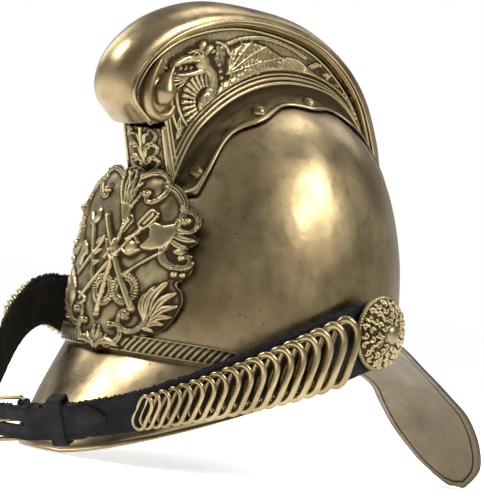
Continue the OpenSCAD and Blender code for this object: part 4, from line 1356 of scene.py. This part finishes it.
def make_strap_fold():
    """Leather folded round the buckle's bar, in two halves beside the prong."""
    half = (STRAP_NARROW - PRONG_GAP) / 2
    parts = []
    for side in (-1, 1):
        middle = side * (PRONG_GAP / 2 + half / 2)
        profile = [(1.75, -half / 2), (3.4, -half / 2), (3.9, -half / 2 + 0.5), (3.9, half / 2 - 0.5),
                   (3.4, half / 2), (1.75, half / 2), (1.75, -half / 2)]
        parts.append(ring_on_bar(profile, middle, 32))
    piece("strap_fold", on_strap(joined(parts), BUCKLE_ANGLE), BLACK_LEATHER, "chin_strap", None)


def make_chain(side):
    """Graduated curb chain: thick twisted links, each leaning on the next."""
    t = np.linspace(0, 2 * math.pi, 48, endpoint=False)
    share = np.linspace(0, 1, LINKS_PER_SIDE)
    angles = mix(7.4, 50, 1 - (1 - share) ** 1.1)
    flip = 1
    if side == "right":
        angles = 180 - angles
        flip = -1
    steps = np.linalg.norm(np.diff(strap_line(angles), axis=0), axis=1)
    pitches = np.r_[steps[0], (steps[1:] + steps[:-1]) / 2, steps[-1]]
    parts = []
    for f, angle, pitch in zip(share, angles, pitches):
        wire = np.clip(0.25 * pitch, 1.25, 2.6)
        a = np.clip(0.95 * pitch, 5, 8.4)
        b = strap_width(angle) * mix(0.97, 0.84, f) / 2 - wire
        tilt = mix(40, 42, f) + rng.uniform(-1.5, 1.5)
        x, y = a * np.cos(t), b * signed_pow(np.sin(t), 0.9)
        lean = rng.uniform(0.34, 0.42) * y + 0.1 * b * np.sin(math.pi * y / b)
        rise = STRAP_T / 2 + 0.8 + wire + a * sind(tilt)
        path = np.stack([flip * (x * cosd(tilt) + lean), y, rise - x * sind(tilt)], -1)
        parts.append(on_strap(tube_data(path, wire, 12, closed=True), angle))
    piece(f"curb_chain_{side}", joined(parts), BRIGHT, "chin_strap", [f"chain_links_{side}"])


def make_keeper():
    """Sewn loop round both layers of the strap."""
    a, length, gap, wall = 73, 9, 0.7, 1.5
    low = -STRAP_T / 2 - gap - wall
    high = strap_lift(a) + TONGUE_T / 2 + gap + wall
    w = strap_width(a) / 2 + gap + wall
    q = np.linspace(0, 360, 73)[:-1]
    y = w * signed_pow(cosd(q), 0.22)
    z = (low + high) / 2 + (high - low) / 2 * signed_pow(sind(q), 0.22)
    x = np.linspace(-length / 2, length / 2, 19)[:, None]
    grid = np.stack([x + 0 * q, y + 0 * x, z + 0 * x], -1)[::-1]
    edge = length / 2 - np.abs(x)
    height = -0.3 * notch(edge - 1.2, 0.3) + 0 * q
    origin, axes = strap_line(a), strap_axes(a)
    grid = grid @ np.array([axes[0], -axes[1], axes[2]]) + origin
    sheet("strap_keeper_loop", grid, wall, BLACK_LEATHER, "chin_strap", ["strap_keeper"],
          height, closed=True, depth=1.0, bevel=0.35)


def rounded_loop(corners, radius, steps=7):
    """A closed path through the corners, each rounded off."""
    corners = np.array(corners, float)
    points = []
    for i, p in enumerate(corners):
        a = unit(corners[i - 1] - p)
        b = unit(corners[(i + 1) % len(corners)] - p)
        for t in np.linspace(0, 1, steps):
            points.append(p + radius * (a * (1 - t) ** 2 + b * t ** 2))
    dense = []
    for i, p in enumerate(points):
        q = points[(i + 1) % len(points)]
        n = max(1, int(np.linalg.norm(q - p) / 1.5))
        dense += [mix(p, q, k / n) for k in range(n)]
    return np.array(dense)


def make_buckle():
    """Bent wire frame and the prong that rests on its far bar."""
    corners = [(0, -FRAME_SIDE, 0), (FRAME_L, -FRAME_SIDE, FRAME_RISE),
               (FRAME_L, FRAME_SIDE, FRAME_RISE), (0, FRAME_SIDE, 0)]
    loop = tube_data(rounded_loop(corners, 2.4), 1.4, 12, closed=True)
    piece("buckle_wire", on_strap(loop, BUCKLE_ANGLE), BRIGHT, "buckle", ["buckle_frame"])
    eye = ring_on_bar([(1.6, -1.4), (2.8, -1.4), (3.1, -1.0), (3.1, 1.0), (2.8, 1.4), (1.6, 1.4),
                       (1.6, -1.4)], 0, 28)
    end_z, run, root_z = FRAME_RISE + 4.15, FRAME_L + 2, 2.6
    path = spline([(0.4, 0, root_z), (run * 0.35, 0, mix(root_z, end_z, 0.36)),
                   (run * 0.75, 0, mix(root_z, end_z, 0.76)), (run, 0, end_z)], np.linspace(0, 1, 24))
    shaft = tube_data(path, mix(1.2, 0.85, np.linspace(0, 1, 24)), 12)
    piece("buckle_tongue", on_strap(joined([eye, shaft]), BUCKLE_ANGLE), BRIGHT, "prong",
          ["buckle_prong"])


# ---------- liner ----------


def make_liner():
    """Sweatband with two rows of stitches, eight tongues and the lace that draws them in."""
    around, start, tall, stitch_count, tongue_count = 240, 2, 30, 150, 8
    a = np.arange(around) * 360 / around
    v = np.linspace(0, 1, 26)[:, None]
    base = dome_ring(a, 0, LINER_OUT)
    grid = base[None] + np.stack([0 * v + 0 * a, 0 * v + 0 * a, edge_rise(a) + start + v * tall], -1)
    height = 0.25 * ripples(grid, 26) - 0.5 * notch(v * tall - 2.2, 0.5)
    sheet("sweatband", grid, 1.8, TAN_LEATHER, "helmet", ["liner_headband"], height,
          closed=True, depth=1.2, bevel=0.5)
    stitch = np.array([(-1.3, 0, 0.05), (-0.8, 0, 0.3), (0.8, 0, 0.3), (1.3, 0, 0.05)])
    stitches = []
    for n in range(stitch_count):
        angle = 360 * n / stitch_count
        for up in (4.0, tall - 3.0):
            p = dome_ring(angle, 0, LINER_OUT - 1.9) + (0, 0, edge_rise(angle) + start + up)
            inward = -unit(np.array((cosd(angle) / SKULL_HALF_WIDTH, sind(angle) / SKULL_HALF_LENGTH, 0)))
            tangent = np.array((-inward[1], inward[0], 0))
            stitches.append(placed(tube_data(stitch, 0.32, 6), p, tangent,
                                   np.cross(inward, tangent), inward))
    piece("sweatband_stitches", joined(stitches), LACE, "helmet", None)
    for n in range(tongue_count):
        mid = 360 * (n + 0.5) / tongue_count
        v = np.linspace(0, 1, 60)[:, None]
        u = np.linspace(-1, 1, 22)[None]
        spread = 18 * (1 - 0.45 * v * v) * (1 - 0.5 * smooth((v - 0.93) / 0.07) * np.abs(u))
        angle = mid + spread * u
        k = mix(0.14, 0.86, v) + edge_share(angle) * (1 - v)
        grid = dome_ring(angle, k, LINER_OUT - 2.4)
        height = 0.3 * ripples(grid, 30) - 0.5 * notch(1 - np.abs(u), 0.1)
        sheet(f"liner_tongue_{n + 1}", grid, 1.5, TAN_LEATHER, "helmet",
              ["liner_tongues"] if n == 0 else None, height, depth=1.2, bevel=0.4)
    k = 0.84
    ring = dome_ring(0, k, LINER_OUT - 7)
    q = np.linspace(0, 360, 161)[:-1]
    wave = 1.2 * sind(8 * q)
    path = np.stack([(ring[0] + wave) * cosd(q), SKULL_Y + CROWN_LEAN * k * k + (ring[0] + wave) * sind(q),
                     ring[2] + 1.0 * sind(16 * q)], -1)
    piece("tongue_lace", tube_data(path, 1.4, 10, closed=True), LACE, "helmet", ["liner_lace"])


def finish_cad_nodes():
    """Small fixings that keep their CAD shape get a tarnished finish."""
    for node in ("badge_posts", "rosette_stud_left", "rosette_stud_right", "rosette_washers",
                 "rosette_nuts", "peak_rivets", "headband_rivets"):
        materials = frame["nodes"][node].data.materials
        materials.clear()
        materials.append(TARNISHED)


# ---------- stage ----------


def make_floor():
    """Pale paper floor that glows a little, so that it shows as white."""
    material, tree, shader = node_tree("floor_paper")
    place = add(tree, "ShaderNodeTexCoord").outputs["Object"]
    feed(tree, shader, Base_Color=(0.9, 0.9, 0.9, 1), Roughness=1.0, Specular_IOR_Level=0.0,
         Emission_Color=(1, 1, 1, 1), Emission_Strength=FLOOR_GLOW,
         Normal=bump(tree, noise(tree, place, 400.0), 0.04, 0.0005))
    corners = [(x * FLOOR_REACH, y * FLOOR_REACH, 0) for x, y in ((-1, -1), (1, -1), (1, 1), (-1, 1))]
    mesh = mesh_from("floor", corners, [(0, 1, 2, 3)])
    floor = bpy.data.objects.new("floor", mesh)
    mesh.materials.append(material)
    floor.location.z = min(0, CAD_BOX[0].z) - 0.0004
    bpy.context.scene.collection.objects.link(floor)


def make_world():
    """White behind the helmet, with paler and darker bands for the brass to reflect."""
    world = bpy.data.worlds.new("studio")
    bpy.context.scene.world = world
    world.use_nodes = True
    tree = world.node_tree
    back = tree.nodes["Background"]
    direction = add(tree, "ShaderNodeTexCoord").outputs["Generated"]
    split = add(tree, "ShaderNodeSeparateXYZ")
    tree.links.new(direction, split.inputs[0])
    up = grey(tree, split.outputs["Z"], 0.0, 1.0, -1.0, 1.0)
    tone = ramp(tree, up, [(0.0, (0.4, 0.4, 0.4)), (0.45, (0.5, 0.5, 0.49)), (0.5, (0.62, 0.62, 0.6)),
                           (0.56, (0.5, 0.5, 0.49)), (0.66, (0.23, 0.23, 0.235)),
                           (0.85, (0.22, 0.22, 0.225)), (1.0, (0.42, 0.42, 0.42))])
    seen = add(tree, "ShaderNodeLightPath").outputs["Is Camera Ray"]
    feed(tree, back, Color=blend_colour(tree, seen, tone, (1.0, 1.0, 1.0)), Strength=1.0)


def way_to(azimuth, elevation):
    """Direction from the helmet to something at that azimuth and elevation in degrees."""
    a, e = math.radians(azimuth), math.radians(elevation)
    return Vector((math.sin(a) * math.cos(e), -math.cos(a) * math.cos(e), math.sin(e)))


def make_lights():
    """Soft rectangular lights, all turned to the middle of the skull."""
    target = Vector((0, SKULL_Y / 1000, 0.14))
    for name, azimuth, elevation, distance, size, power in LIGHTS:
        light = bpy.data.lights.new(name, "AREA")
        light.shape = "RECTANGLE"
        light.size, light.size_y = size
        light.energy = power
        obj = bpy.data.objects.new(name, light)
        back_way = way_to(azimuth, elevation)
        obj.location = target + back_way * distance
        obj.rotation_mode = "QUATERNION"
        obj.rotation_quaternion = (-back_way).to_track_quat("-Z", "Y")
        bpy.context.scene.collection.objects.link(obj)


def make_camera():
    """Camera low at the front left of the wearer, tipped a little."""
    azimuth, tip = math.radians(CAMERA_AZIMUTH), math.radians(CAMERA_TIP)
    target = Vector((0, (SKULL_Y - 4.5) / 1000, 0.1355))
    back = way_to(CAMERA_AZIMUTH, CAMERA_ELEVATION)
    right = Vector((math.cos(azimuth), math.sin(azimuth), 0))
    up = back.cross(right)
    x = math.cos(tip) * right + math.sin(tip) * up
    y = -math.sin(tip) * right + math.cos(tip) * up
    data = bpy.data.cameras.new("camera")
    data.lens = CAMERA_LENS
    data.clip_start, data.clip_end = 0.05, 60
    camera = bpy.data.objects.new("camera", data)
    camera.matrix_world = Matrix.Translation(target + back * CAMERA_DISTANCE) @ \
        Matrix((x, y, back)).transposed().to_4x4()
    bpy.context.scene.collection.objects.link(camera)
    bpy.context.scene.camera = camera


make_camera()
make_skull()
make_peak()
make_neck_guard()
make_comb_hood()
make_comb_sides()
make_front_plate()
make_knobs()
make_rivets()
make_badge()
make_brow_band()
make_rosettes()
make_strap("left")
make_strap("right")
make_strap_fold()
make_chain("left")
make_chain("right")
make_keeper()
make_buckle()
make_liner()
finish_cad_nodes()
make_floor()
make_world()
make_lights()
bpy.context.scene.view_settings.view_transform = "Standard"
